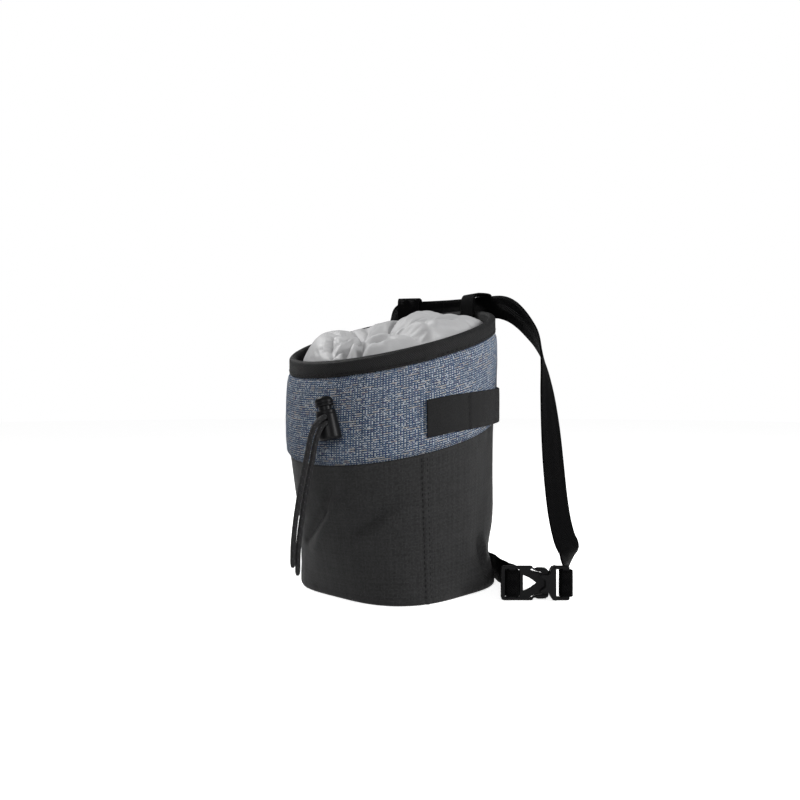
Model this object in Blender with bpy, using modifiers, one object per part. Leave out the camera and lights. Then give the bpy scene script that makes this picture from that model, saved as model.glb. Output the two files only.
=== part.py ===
"""Climbing chalk bag: cloth body with padded band, drawn-shut collar, waist belt, buckle and cord lock.

Metres, +Z up. The origin is the centre of the bottom, on the surface that the bag stands on.
The front, with the cord lock, faces -Y. Angles go round the bag from the front towards +X, in degrees.
"""
import math

import bpy
import bmesh
from mathutils import Matrix, Vector

MM = 0.001

# Clearances
GAP = 0.3 * MM                 # between sewn or seated pieces
RUNNING_GAP = 0.3 * MM         # round the button's shaft and the cords in the lock

# Bag body
BASE_RADIUS = 57.2 * MM
BASE_SQUARENESS = 0.06         # share of the radius by which the four corners stand out
CORNER_TURN = 39.6             # angle of the first bottom corner
BASE_THICKNESS = 2.5 * MM
SEAM_RADIUS = 63.6 * MM
SEAM_HEIGHT = 93.9 * MM
SEAM_SLOPE = 0.2422            # rise for each unit of way to the back
SEAM_OVAL = 0.022
SEAM_OVAL_TURN = 174.0
SEAM_HIGH_TURN = 179.0
RIM_RADIUS = 62.5 * MM
RIM_HEIGHT = 155.8 * MM
RIM_SLOPE = 0.2935
RIM_OVAL = -0.0285
RIM_OVAL_TURN = 38.0
RIM_HIGH_TURN = 175.8
TOP_SHIFT_X = -2.9 * MM        # the top leans a little over the bottom
TOP_SHIFT_Y = -2.3 * MM
LOWER_WALL = 2.0 * MM
PANEL_WALL = 2.2 * MM
PANEL_PUFF = 3.0 * MM
SEAM_STEP = 0.4 * MM           # the black cloth lies this much inside the blue band
DENT_DEPTH = 4.5 * MM
WALL_SEGMENTS = 54

# Binding tape over the rim
BINDING_WIDTH = 9.7 * MM
BINDING_TAPE = 1.0 * MM

# Collar, drawn shut
COLLAR_WALL = 1.0 * MM
COLLAR_RISE = 11.0 * MM
COLLAR_DROP = 4.0 * MM         # its sewn edge lies this far under the binding
COLLAR_INSET = 8.0 * MM        # it stands this far inside the rim's outer edge
COLLAR_PULL = 2.5 * MM         # further in at the left, where it is drawn off the wall
COLLAR_PULL_TURN = -52.0
MOUTH_X = -3.0 * MM
MOUTH_Y = -28.0 * MM
MOUTH_RADIUS = 6.0 * MM
HEM_LENGTH = 7.0 * MM
PLEATS = 10
PLEAT_DEPTH = 1.5 * MM
COLLAR_SEGMENTS = 60

# Brush strip on the side
STRIP_WIDTH = 21.0 * MM
STRIP_THICKNESS = 1.1 * MM

# Webbing of the belt and its loops
WEBBING_WIDTH = 15.0 * MM
WEBBING_THICKNESS = 1.3 * MM
LOOP_LEFT_TURN = 207.0
LOOP_RIGHT_TURN = 158.0
LOOP_ROOM = 6.2 * MM           # clear way for the belt between binding and loop
BELT_LIFT = 1.4 * MM           # belt's middle over the highest point of the rim
BELT_REACH = 30.0 * MM         # unit of the belt's distance from the wall

# Side-release buckle, standing on its long edge. Its own +X runs from the ladder lock to the socket's bar
BUCKLE_X = 89.2 * MM
BUCKLE_Y = 12.6 * MM
BUCKLE_TURN = 38.0             # direction of its length, from +X towards +Y
BUCKLE_RAIL = 1.9 * MM
SLOT_SPARE = 1.0 * MM          # slot's length over the webbing's width
BAR_WIDTH = 4.2 * MM           # both bars that the webbing goes round
BAR_THICKNESS = 2.6 * MM
SOCKET_THICKNESS = 6.2 * MM
LADDER_BAR = -12.5 * MM        # middle of the ladder lock's bar
LADDER_SLOT = 2.3 * MM
LADDER_RAIL = 2.2 * MM
SOCKET_BAR = 18.3 * MM         # middle of the socket's bar
SOCKET_SLOT = 3.75 * MM
PRONG_THICKNESS = 2.6 * MM
PRONG_END = 8.4 * MM
SOCKET_MOUTH = 2.8 * MM

# Cord lock
LOCK_TURN = 6.3                # angle of the lock on the front
LOCK_HEIGHT = 104.0 * MM       # height of its cord hole
LOCK_FACE = 30.0               # direction that its cord hole faces
LOCK_TILT = 12.0               # its top leans to the left
LOCK_STANDOFF = 0.8 * MM
BARREL_TOP_RADIUS = 5.6 * MM
BARREL_FOOT_RADIUS = 6.6 * MM
BARREL_TOP = 5.8 * MM          # over the middle of the cord hole
BARREL_FOOT = 10.6 * MM        # under it
BARREL_FLOOR = 1.4 * MM
BUTTON_RADIUS = 5.2 * MM
BUTTON_HEAD = 5.6 * MM
BUTTON_TRAVEL = 2.0 * MM
SHAFT_RADIUS = 3.6 * MM
CORD_DIAMETER = 3.0 * MM
CORD_SPREAD = 3.3 * MM         # between the two strands' middles
STRAND_DROP_LEFT = 82.0 * MM   # from the hole to the strand's end
STRAND_DROP_RIGHT = 83.5 * MM
TURN_STEPS = 20

# Tables. Lengths in them are shares of the named sizes.
# name, angle, share of the wall's height, spread in degrees, spread in height, depth / DENT_DEPTH
DENTS = (
    ("pinch over the right corner", 128, 0.20, 24, 0.13, 0.95),
    ("hollow behind the cord", -50, 0.42, 20, 0.22, 0.35),
    ("slack under the cord lock", 12, 0.52, 16, 0.16, 0.22),
    ("soft back", 205, 0.45, 30, 0.25, 0.40),
)
# name, angle and height of one end, angle and height of the other, width in degrees, depth / DENT_DEPTH
CREASES = (
    ("drag fold to the left", -26, 0.42, 8, 0.86, 7, 0.36),
    ("soft fold on the front", 16, 0.50, 40, 0.72, 8, 0.16),
    ("crease to the right corner", 92, 0.36, 112, 0.06, 6, 0.22),
)
# share of the band's height down from the binding, share of PANEL_PUFF
PUFF_ROWS = (
    (0.000, 0.00), (0.05, 0.60), (0.18, 0.88), (0.42, 1.00), (0.70, 0.95), (0.92, 0.70), (1.000, 0.00),
)
# name, angle, share of the band's height, spread in degrees, spread in height, depth / PANEL_PUFF
BAND_DENTS = (
    ("pressed by the brush strip", 104, 0.60, 42, 0.34, 0.42),
    ("pressed by the cord lock", 6, 0.50, 12, 0.30, 0.12),
)
LOWER_ROWS = (0.0, 0.02, 0.10, 0.20, 0.32, 0.48, 0.66, 0.84, 1.0)
# share of the way from the inset edge to the mouth, share of COLLAR_RISE over the rim, share of the pleats
COLLAR_ROWS = (
    (0.00, 0.00, 0.00), (0.10, 0.50, 0.10), (0.24, 0.88, 0.25), (0.42, 1.02, 0.45),
    (0.60, 1.00, 0.70), (0.78, 0.82, 1.00), (0.92, 0.52, 1.00), (1.00, 0.20, 0.80),
)
# name, angle, share of the way to the mouth, spread in degrees, spread of the share, height / COLLAR_RISE
COLLAR_LUMPS = (
    ("left lump", -58, 0.42, 32, 0.35, 0.08),
    ("right lump", 150, 0.45, 36, 0.30, -0.04),
    ("front lump", 60, 0.55, 40, 0.35, -0.15),
    ("left front valley", -5, 0.60, 16, 0.40, -0.30),
    ("hollow behind the mouth", 230, 0.55, 40, 0.55, -0.90),
)
# angle, height of the lower edge over the seam / STRIP_WIDTH
STRIP_ROWS = (
    (55.7, 0.43), (70.0, 0.40), (80.0, 0.33), (90.0, 0.25), (100.0, 0.16),
    (110.0, 0.07), (120.0, -0.03), (128.0, -0.10), (136.0, -0.15),
)
# Way of the webbing out of the socket's bar: along the buckle, behind it and up, from the bar's middle,
# as shares of WEBBING_WIDTH, and which way its upper edge points, along, behind and up
TURN_ROWS = (
    ("behind the bar", 0.13, 0.32, 0.00, 0.0, 0.0, 1.0),
    ("turn up 1", 0.14, 0.56, 0.10, 0.0, -0.40, 0.92),
    ("turn up 2", 0.17, 0.72, 0.42, -0.25, -0.82, 0.50),
    ("turn up 3", 0.21, 0.72, 0.82, -0.62, -0.76, 0.10),
    ("over the buckle", 0.24, 0.64, 1.20, -0.88, -0.46, 0.00),
)
# Sections of the belt on its way up, through the loops and down behind the bag.
# angle, distance from the wall / BELT_REACH, share of the loops' height, and which way its upper
# edge points: angle and rise in degrees
BELT_ROWS = (
    ("lower run 1", 107.4, 1.53, 0.160, -29, 2),
    ("lower run 2", 106.9, 1.44, 0.227, -27, 0),
    ("lower run 3", 106.4, 1.37, 0.310, -26, 0),
    ("lower run 4", 106.8, 1.29, 0.420, -24, 0),
    ("lower run 5", 108.9, 1.20, 0.540, -16, 0),
    ("lower run 6", 111.5, 1.11, 0.655, -2, 0),
    ("lower run 7", 114.7, 1.03, 0.745, 14, 4),
    ("edge on", 118.3, 0.95, 0.810, 27, 14),
    ("arch 1", 123.3, 0.85, 0.862, 38, 28),
    ("arch 2", 127.8, 0.73, 0.902, 44, 42),
    ("arch 3", 132.5, 0.57, 0.946, 50, 54),
    ("arch 4", 138.0, 0.43, 0.978, 62, 66),
    ("arch 5", 144.5, 0.30, 0.996, 100, 78),
    ("into the right loop", 151.5, 0.19, 0.999, 148, 86),
    ("right loop", 158.0, 0.15, 1.000, 156, 88),
    ("out of the right loop", 164.5, 0.12, 1.000, 164, 88),
    ("back 1", 171.0, 0.10, 1.000, 171, 88),
    ("back 2", 183.0, 0.09, 1.000, 183, 88),
    ("back 3", 195.0, 0.09, 1.000, 195, 88),
    ("into the left loop", 203.5, 0.10, 1.000, 203, 88),
    ("left loop", 210.0, 0.13, 1.000, 209, 88),
    ("out of the left loop", 216.5, 0.18, 0.992, 213, 84),
    ("over the back 1", 221.5, 0.27, 0.945, 215, 50),
    ("over the back 2", 225.0, 0.35, 0.870, 218, 20),
    ("fall 1", 227.0, 0.41, 0.770, 220, 5),
    ("fall 2", 227.0, 0.44, 0.620, 220, 0),
    ("fall 3", 226.0, 0.52, 0.430, 218, 0),
    ("fall 4", 222.5, 0.60, 0.250, 214, 2),
    ("turn to the floor", 215.5, 0.72, 0.090, 210, 8),
    ("floor 1", 206.0, 0.78, 0.015, 204, 22),
    ("floor 2", 194.0, 0.72, 0.000, 195, 48),
    ("floor 3", 181.0, 0.50, 0.000, 182, 74),
    ("floor 4", 167.0, 0.24, 0.000, 168, 90),
    ("floor 5", 153.0, 0.12, 0.000, 153, 90),
    ("round the corner", 140.0, 0.09, 0.000, 140, 90),
    ("past the corner", 127.0, 0.10, 0.000, 127, 90),
    ("to the ladder lock", 117.0, 0.30, 0.000, 117, 90),
)
# Points of a strand below the lock: share of its drop, way to the right and to the front of the hole's
# mouth / CORD_DIAMETER
STRAND_ROWS = (
    (0.020, -0.05, 0.85), (0.060, -0.30, 1.50), (0.130, -0.75, 1.85), (0.25, -1.45, 1.95), (0.40, -2.50, 2.00),
    (0.55, -3.35, 2.00), (0.70, -4.10, 2.00), (0.85, -4.60, 2.00), (1.00, -4.70, 2.00),
)
STRAND_LANE = 0.95             # the upper strand's way round the lower one / CORD_DIAMETER

CLOTH_BLACK = (0.018, 0.019, 0.022, 1.0)
TAPE_BLACK = (0.012, 0.012, 0.013, 1.0)
PLASTIC_BLACK = (0.010, 0.010, 0.011, 1.0)
TWEED_BLUE = (0.125, 0.165, 0.27, 1.0)
NYLON_GREY = (0.42, 0.42, 0.43, 1.0)


def clear_scene():
    """Remove every object of the scene."""
    for old in list(bpy.data.objects):
        bpy.data.objects.remove(old, do_unlink=True)


def make_material(name, colour, roughness):
    """Material with one colour."""
    material = bpy.data.materials.new(name)
    material.use_nodes = True
    shader = material.node_tree.nodes["Principled BSDF"]
    shader.inputs["Base Color"].default_value = colour
    shader.inputs["Roughness"].default_value = roughness
    shader.inputs["Metallic"].default_value = 0.0
    return material


def add_object(name, data, material, collection):
    """Link a new object with its material."""
    thing = bpy.data.objects.new(name, data)
    collection.objects.link(thing)
    data.materials.append(material)
    return thing


def mesh_from(name, corners, faces):
    """Mesh from corner positions and faces, with its normals made consistent by the face order."""
    mesh = bpy.data.meshes.new(name)
    mesh.from_pydata([tuple(corner) for corner in corners], [], faces)
    mesh.update()
    return mesh


def grid_faces(rows, columns, closed):
    """Quads of a grid whose rows hold the given number of columns, closed round the row or open."""
    faces = []
    last = columns if closed else columns - 1
    for row in range(rows - 1):
        for column in range(last):
            beside = (column + 1) % columns
            low = row * columns
            high = low + columns
            faces.append((low + column, low + beside, high + beside, high + column))
    return faces


def solidify(thing, thickness):
    """Give an open skin its thickness, inwards."""
    wall = thing.modifiers.new("wall", "SOLIDIFY")
    wall.thickness = thickness
    wall.offset = -1.0
    return wall


def smooth(thing, angle=40.0):
    """Shade a round piece smooth."""
    thing.data.shade_smooth()
    thing.data.set_sharp_from_angle(angle=math.radians(angle))


def outward(angle):
    """Unit vector from the bag's axis at an angle."""
    turn = math.radians(angle)
    return Vector((math.sin(turn), -math.cos(turn), 0.0))


def cos_deg(angle):
    """Cosine of an angle in degrees."""
    return math.cos(math.radians(angle))


def spread(distance, width):
    """Smooth hump, 1 at the middle."""
    return math.exp(-(distance / width) ** 2)


def angle_between(one, other):
    """Smallest difference of two angles."""
    return (one - other + 180.0) % 360.0 - 180.0


def mix(low, high, share):
    """Value between two others."""
    return low + (high - low) * share


def top_shift():
    """How far the seam and the rim lie beside the bottom's middle."""
    return Vector((TOP_SHIFT_X, TOP_SHIFT_Y, 0.0))


def base_point(angle):
    """Point of the bottom edge."""
    radius = BASE_RADIUS * (1.0 + BASE_SQUARENESS * cos_deg(4 * (angle - CORNER_TURN)))
    return outward(angle) * radius


def seam_point(angle, inset=0.0):
    """Point of the seam between the black cloth and the band."""
    radius = SEAM_RADIUS * (1.0 + SEAM_OVAL * cos_deg(2 * (angle - SEAM_OVAL_TURN)))
    height = SEAM_HEIGHT + SEAM_SLOPE * radius * cos_deg(angle - SEAM_HIGH_TURN)
    point = outward(angle) * (radius - inset) + top_shift()
    point.z = height
    return point


def rim_point(angle, inset=0.0):
    """Point of the rim's upper outer edge."""
    radius = RIM_RADIUS * (1.0 + RIM_OVAL * cos_deg(2 * (angle - RIM_OVAL_TURN)))
    height = RIM_HEIGHT + RIM_SLOPE * radius * cos_deg(angle - RIM_HIGH_TURN)
    point = outward(angle) * (radius - inset) + top_shift()
    point.z = height
    return point


def dent_depth(angle, share):
    """How far the lower cloth is pressed in."""
    depth = 0.0
    for _, turn, middle, wide, tall, part in DENTS:
        depth += part * spread(angle_between(angle, turn), wide) * spread(share - middle, tall)
    for _, turn_a, share_a, turn_b, share_b, wide, part in CREASES:
        depth += part * crease_share(angle, share, turn_a, share_a, turn_b, share_b, wide)
    return depth * DENT_DEPTH


def crease_share(angle, share, turn_a, share_a, turn_b, share_b, wide):
    """Share of a crease's depth at a point, by its distance from the line between two ends."""
    tall = 90.0                # degrees that count as much as the whole height
    run = Vector((angle_between(turn_b, turn_a), (share_b - share_a) * tall))
    way = Vector((angle_between(angle, turn_a), (share - share_a) * tall))
    along = min(max(way.dot(run) / run.dot(run), 0.0), 1.0)
    return spread((way - run * along).length, wide)


def lower_point(angle, share):
    """Outer point of the black cloth, from the bottom (0) to the seam (1)."""
    foot = base_point(angle)
    head = seam_point(angle, SEAM_STEP)
    head.z -= GAP / 2
    if share <= LOWER_ROWS[1]:
        return Vector((foot.x, foot.y, head.z * share))
    corner = BASE_SQUARENESS * BASE_RADIUS * cos_deg(4 * (angle - CORNER_TURN))
    point = mix(foot, head, share)
    point += outward(angle) * corner * ((1.0 - share) ** 2 - (1.0 - share))
    point -= outward(angle) * dent_depth(angle, share) * math.sin(math.pi * share) ** 0.5
    return point


def band_point(angle, share, puff):
    """Outer point of the blue band, from under the binding (0) to the seam (1)."""
    head = rim_point(angle, BINDING_TAPE + GAP)
    head.z -= BINDING_WIDTH + GAP
    foot = seam_point(angle)
    foot.z += GAP / 2
    for _, turn, middle, wide, tall, part in BAND_DENTS:
        puff -= part * spread(angle_between(angle, turn), wide) * spread(share - middle, tall)
    return mix(head, foot, share) + outward(angle) * PANEL_PUFF * max(puff, 0.0)


def wall_radius(angle, height):
    """Outer distance of the wall from the bag's axis at a height, for what lies on it."""
    rim = rim_point(angle)
    seam = seam_point(angle)
    if height >= seam.z:
        share = min((height - seam.z) / (rim.z - seam.z), 1.0)
        radius = mix(seam, rim, share).xy.length
    else:
        radius = mix(base_point(angle), seam, max(height, 0.0) / seam.z).xy.length
    return radius


def turns(count):
    """Angles of a ring, evenly spaced."""
    return [360.0 * step / count for step in range(count)]


def skin_mesh(name, rings):
    """Open skin through rings from the top down, whose outer side faces out."""
    corners = [corner for ring in rings for corner in ring]
    faces = grid_faces(len(rings), len(rings[0]), True)
    return mesh_from(name, corners, [tuple(reversed(face)) for face in faces])


def build_lower_body(collection, material):
    """Black cloth from the bottom to the seam."""
    rings = [[lower_point(angle, share) for angle in turns(WALL_SEGMENTS)] for share in reversed(LOWER_ROWS)]
    body = add_object("lower_body", skin_mesh("lower_body", rings), material, collection)
    solidify(body, LOWER_WALL)
    smooth(body)


def outline_mesh(name, outline, thickness):
    """Closed mesh of a flat outline in its own XY plane, half its thickness to each side."""
    curve = bpy.data.curves.new(name, "CURVE")
    curve.dimensions = "2D"
    curve.fill_mode = "BOTH"
    curve.extrude = thickness / 2
    spline = curve.splines.new("POLY")
    spline.points.add(len(outline) - 1)
    spline.use_cyclic_u = True
    for slot, (x, y) in zip(spline.points, outline):
        slot.co = (x, y, 0.0, 1.0)
    guide = bpy.data.objects.new(name + "_outline", curve)
    bpy.context.scene.collection.objects.link(guide)
    graph = bpy.context.evaluated_depsgraph_get()
    mesh = bpy.data.meshes.new_from_object(guide.evaluated_get(graph))
    bpy.data.objects.remove(guide, do_unlink=True)
    bpy.data.curves.remove(curve)
    mesh.name = name
    work = bmesh.new()
    work.from_mesh(mesh)
    bmesh.ops.remove_doubles(work, verts=work.verts, dist=0.001 * MM)
    bmesh.ops.recalc_face_normals(work, faces=work.faces)
    work.to_mesh(mesh)
    work.free()
    return mesh


def build_base_panel(collection, material):
    """Flat bottom, sewn inside the lower edge of the cloth."""
    inset = LOWER_WALL + 2 * GAP
    outline = []
    for angle in turns(WALL_SEGMENTS):
        point = base_point(angle) - outward(angle) * inset
        outline.append((point.x, point.y))
    mesh = outline_mesh("base_panel", outline, BASE_THICKNESS)
    mesh.transform(Matrix.Translation((0.0, 0.0, BASE_THICKNESS / 2)))
    add_object("base_panel", mesh, material, collection)


def build_upper_panel(collection, material):
    """Padded band, whose upper edge goes into the binding."""
    rings = []
    inset = BINDING_TAPE + GAP
    for drop in (binding_depth() / 2 + GAP, BINDING_WIDTH / 2):
        ring = []
        for angle in turns(WALL_SEGMENTS):
            point = rim_point(angle, inset)
            point.z -= drop
            ring.append(point)
        rings.append(ring)
    for share, puff in PUFF_ROWS:
        rings.append([band_point(angle, share, puff) for angle in turns(WALL_SEGMENTS)])
    panel = add_object("upper_panel", skin_mesh("upper_panel", rings), material, collection)
    solidify(panel, PANEL_WALL)
    smooth(panel)


def binding_depth():
    """Width of the folded binding over the rim, outside to inside."""
    return 2 * BINDING_TAPE + 2 * GAP + PANEL_WALL


def build_rim_binding(collection, material):
    """Tape folded over the rim: outer leg, round top, inner leg."""
    inner = binding_depth()
    bend = inner / 2
    fold = [(0.0, BINDING_WIDTH), (0.0, bend)]
    for turn in (45.0, 90.0, 135.0):
        fold.append((bend - bend * cos_deg(turn), bend - bend * math.sin(math.radians(turn))))
    fold += [(inner, bend), (inner, BINDING_WIDTH)]
    rings = []
    for inset, drop in fold:
        ring = []
        for angle in turns(WALL_SEGMENTS):
            point = rim_point(angle, inset)
            point.z -= drop
            ring.append(point)
        rings.append(ring)
    corners = [corner for ring in rings for corner in ring]
    mesh = mesh_from("rim_binding", corners, grid_faces(len(rings), WALL_SEGMENTS, True))
    binding = add_object("rim_binding", mesh, material, collection)
    solidify(binding, BINDING_TAPE)
    smooth(binding)


def collar_edge(angle):
    """Point where the collar stands free of the binding, at the binding's lower edge."""
    pull = COLLAR_PULL * spread(angle_between(angle, COLLAR_PULL_TURN), 45.0)
    point = rim_point(angle, COLLAR_INSET + pull)
    point.z -= BINDING_WIDTH / 2
    return point


def collar_point(angle, share, rise, pleat):
    """Outer point of the closed collar, from its inset edge (0) to the mouth (1)."""
    edge = collar_edge(angle)
    mouth = Vector((MOUTH_X, MOUTH_Y, 0.0)) + outward(angle) * MOUTH_RADIUS
    mouth.z = RIM_HEIGHT + RIM_SLOPE * (mouth - top_shift()).dot(outward(RIM_HIGH_TURN))
    point = mix(edge, mouth, share)
    lift = rise
    for _, turn, middle, wide, reach, height in COLLAR_LUMPS:
        lift += height * spread(angle_between(angle, turn), wide) * spread(share - middle, reach)
    fold = 0.5 * cos_deg(PLEATS * angle) + 0.5 * cos_deg((PLEATS - 4) * angle + 40)
    point.z += lift * COLLAR_RISE + pleat * fold * PLEAT_DEPTH
    return point


def build_inner_collar(collection, material):
    """Nylon closure: out of the wall, over its puffed ring, down into the gathered mouth."""
    angles = turns(COLLAR_SEGMENTS)
    sewn = []
    for angle in angles:
        point = rim_point(angle, BINDING_TAPE + 2 * GAP + PANEL_WALL)
        point.z -= BINDING_WIDTH + COLLAR_DROP
        sewn.append(point)
    free = []
    for angle in angles:
        point = mix(collar_edge(angle), rim_point(angle, COLLAR_INSET), 0.3)
        point.z = rim_point(angle).z - BINDING_WIDTH - COLLAR_DROP / 4
        free.append(point)
    rings = [sewn, free]
    for share, rise, pleat in COLLAR_ROWS:
        rings.append([collar_point(angle, share, rise, pleat) for angle in angles])
    hem = []
    for index, angle in enumerate(angles):
        point = rings[-1][index].copy()
        point.z -= HEM_LENGTH
        hem.append(point)
    rings.append(hem)
    corners = [corner for ring in rings for corner in ring]
    mesh = mesh_from("inner_collar", corners, grid_faces(len(rings), COLLAR_SEGMENTS, True))
    collar = add_object("inner_collar", mesh, material, collection)
    solidify(collar, COLLAR_WALL)
    smooth(collar)


def band_puff(share):
    """Share of the band's puff at a share of its height."""
    puff = 0.0
    for (low, start), (high, end) in zip(PUFF_ROWS, PUFF_ROWS[1:]):
        if low <= share <= high:
            puff = mix(start, end, (share - low) / (high - low))
    return puff


def strip_point(angle, lift, across, out):
    """Point of the brush strip: across its width (0 to 1) and out from its inner side."""
    foot = seam_point(angle)
    height = foot.z + (lift + across) * STRIP_WIDTH
    rim = rim_point(angle)
    share = (rim.z - BINDING_WIDTH - height) / (rim.z - BINDING_WIDTH - foot.z)
    share = min(max(share, 0.0), 1.0)
    point = band_point(angle, share, max(band_puff(share), PUFF_ROWS[-2][1]))
    point += outward(angle) * (GAP * 1.5 + out)
    point.z = height
    return point


def strip_stations():
    """Angle and lift of each section of the strip: its ends, and the band's own corners between them."""
    first, last = STRIP_ROWS[0][0], STRIP_ROWS[-1][0]
    angles = [first] + [angle for angle in turns(WALL_SEGMENTS) if first + 1.0 < angle < last - 1.0] + [last]
    stations = []
    for angle in angles:
        for (low, start), (high, end) in zip(STRIP_ROWS, STRIP_ROWS[1:]):
            if low <= angle <= high:
                stations.append((angle, mix(start, end, (angle - low) / (high - low))))
                break
    return stations


def build_brush_strip(collection, material):
    """Flat strip sewn on the band at the right side."""
    corners = []
    stations = strip_stations()
    rows = 5
    shares = [row / (rows - 1) for row in range(rows)]
    for angle, lift in stations:
        for across in shares:
            corners.append(strip_point(angle, lift, across, 0.0))
        for across in reversed(shares):
            corners.append(strip_point(angle, lift, across, STRIP_THICKNESS))
    faces = tube_faces(len(stations), 2 * rows)
    strip = add_object("brush_strip", mesh_from("brush_strip", corners, faces), material, collection)
    orient(strip)
    smooth(strip)


def tube_faces(rows, columns):
    """Quads round a closed profile along its rows, with both ends closed."""
    faces = grid_faces(rows, columns, True)
    faces.append(tuple(reversed(range(columns))))
    faces.append(tuple(range((rows - 1) * columns, rows * columns)))
    return faces


def orient(thing):
    """Turn all faces of a closed mesh outwards."""
    work = bmesh.new()
    work.from_mesh(thing.data)
    bmesh.ops.recalc_face_normals(work, faces=work.faces)
    work.to_mesh(thing.data)
    work.free()


def belt_level():
    """Height of the belt's middle between the loops."""
    return max(rim_point(angle).z for angle in turns(WALL_SEGMENTS)) + BELT_LIFT


def build_belt_loop(name, angle, collection, material):
    """Webbing loop on the rim: inner leg, round top over the belt, outer leg back to the binding."""
    inner = binding_depth() + GAP * 2 + WEBBING_THICKNESS + WEBBING_WIDTH ** 2 / (8 * RIM_RADIUS)
    top = belt_level() + WEBBING_WIDTH / 2 + GAP * 2 + WEBBING_THICKNESS
    rim = rim_point(angle)
    tall = top - rim.z
    out = GAP + WEBBING_THICKNESS
    room = LOOP_ROOM + out
    low = rim.z - belt_level() + WEBBING_WIDTH / 2 + GAP * 3
    rest = BINDING_WIDTH - low
    path = [
        (-inner, -BINDING_WIDTH * 0.9), (-inner, 0.0), (-inner * 0.95, tall * 0.55), (-inner * 0.78, tall * 0.87),
        (-inner * 0.40, tall * 0.99), (room * 0.60, tall), (room * 0.97, tall * 0.93), (room * 1.06, tall * 0.72),
        (room * 1.04, 0.0), (room * 0.98, -low), (room * 0.60, -low - rest * 0.45),
        (out, -low - rest * 0.80), (out, -BINDING_WIDTH),
    ]
    radial = outward(angle)
    side = Vector((-radial.y, radial.x, 0.0))
    corners = []
    for away, up in path:
        for share in (-0.5, 0.5):
            corner = rim + radial * away + side * WEBBING_WIDTH * share
            corner.z = rim.z + up
            corners.append(corner)
    faces = [tuple(reversed(face)) for face in grid_faces(len(path), 2, False)]
    loop = add_object(name, mesh_from(name, corners, faces), material, collection)
    solidify(loop, WEBBING_THICKNESS)
    smooth(loop)


def belt_stations():
    """Middle and upper-edge direction of each section of the belt, from the socket to the ladder lock."""
    level = belt_level()
    half = WEBBING_WIDTH / 2
    stations = []
    for _, angle, reach, share, edge_turn, edge_rise in BELT_ROWS:
        height = mix(half, level, share)
        radius = wall_radius(angle, height) + reach * BELT_REACH
        middle = outward(angle) * radius
        middle.z = height
        edge = outward(edge_turn) * cos_deg(edge_rise)
        edge.z = math.sin(math.radians(edge_rise))
        stations.append((middle, edge))
    return stations


def smooth_between(points, step):
    """Points on a smooth curve through the given ones, so many between each two."""
    line = []
    count = len(points)
    for index in range(count - 1):
        before = points[max(index - 1, 0)]
        start = points[index]
        end = points[index + 1]
        after = points[min(index + 2, count - 1)]
        for part in range(step):
            t = part / step
            line.append(0.5 * ((2 * start) + (end - before) * t
                               + (2 * before - 5 * start + 4 * end - after) * t ** 2
                               + (3 * start - before - 3 * end + after) * t ** 3))
    line.append(points[-1].copy())
    return line


def ribbon_corners(middles, edges, width, thickness):
    """Corners of a flat ribbon: four at each section."""
    corners = []
    count = len(middles)
    for index, middle in enumerate(middles):
        along = middles[min(index + 1, count - 1)] - middles[max(index - 1, 0)]
        along.normalize()
        edge = edges[index] - along * edges[index].dot(along)
        edge.normalize()
        face = along.cross(edge)
        low = abs(edge.z) * width / 2 + abs(face.z) * thickness / 2 + GAP / 2
        lift = Vector((0.0, 0.0, max(low - middle.z, 0.0)))
        for side, up in ((-1, -1), (1, -1), (1, 1), (-1, 1)):
            corners.append(middle + lift + face * thickness / 2 * side + edge * width / 2 * up)
    return corners


def slot_length():
    """Length of the buckle's slots, for the webbing to lie in with some room."""
    return WEBBING_WIDTH + SLOT_SPARE


def buckle_width():
    """Width of the buckle over its rails."""
    return slot_length() + 2 * BUCKLE_RAIL


def buckle_place():
    """Place of the buckle: +X along it to the socket's bar, +Y away from the front, +Z up."""
    place = Matrix.Translation((BUCKLE_X, BUCKLE_Y, buckle_width() / 2 + GAP / 2))
    return place @ Matrix.Rotation(math.radians(BUCKLE_TURN), 4, "Z")


def wrap_points(bar, turns_round):
    """Middle line of the webbing round a bar, at angles from the bar's +X side towards its back."""
    wide = BAR_WIDTH / 2 + GAP + WEBBING_THICKNESS / 2 + GAP
    deep = BAR_THICKNESS / 2 + GAP + WEBBING_THICKNESS / 2 + GAP
    points = []
    for turn in turns_round:
        along = rounded(cos_deg(turn))
        behind = rounded(math.sin(math.radians(turn)))
        points.append(Vector((bar + wide * along, deep * behind, 0.0)))
    return points


def rounded(share):
    """Share of a half width for a path that runs round a bar's corners."""
    return math.copysign(abs(share) ** 0.6, share)


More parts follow.
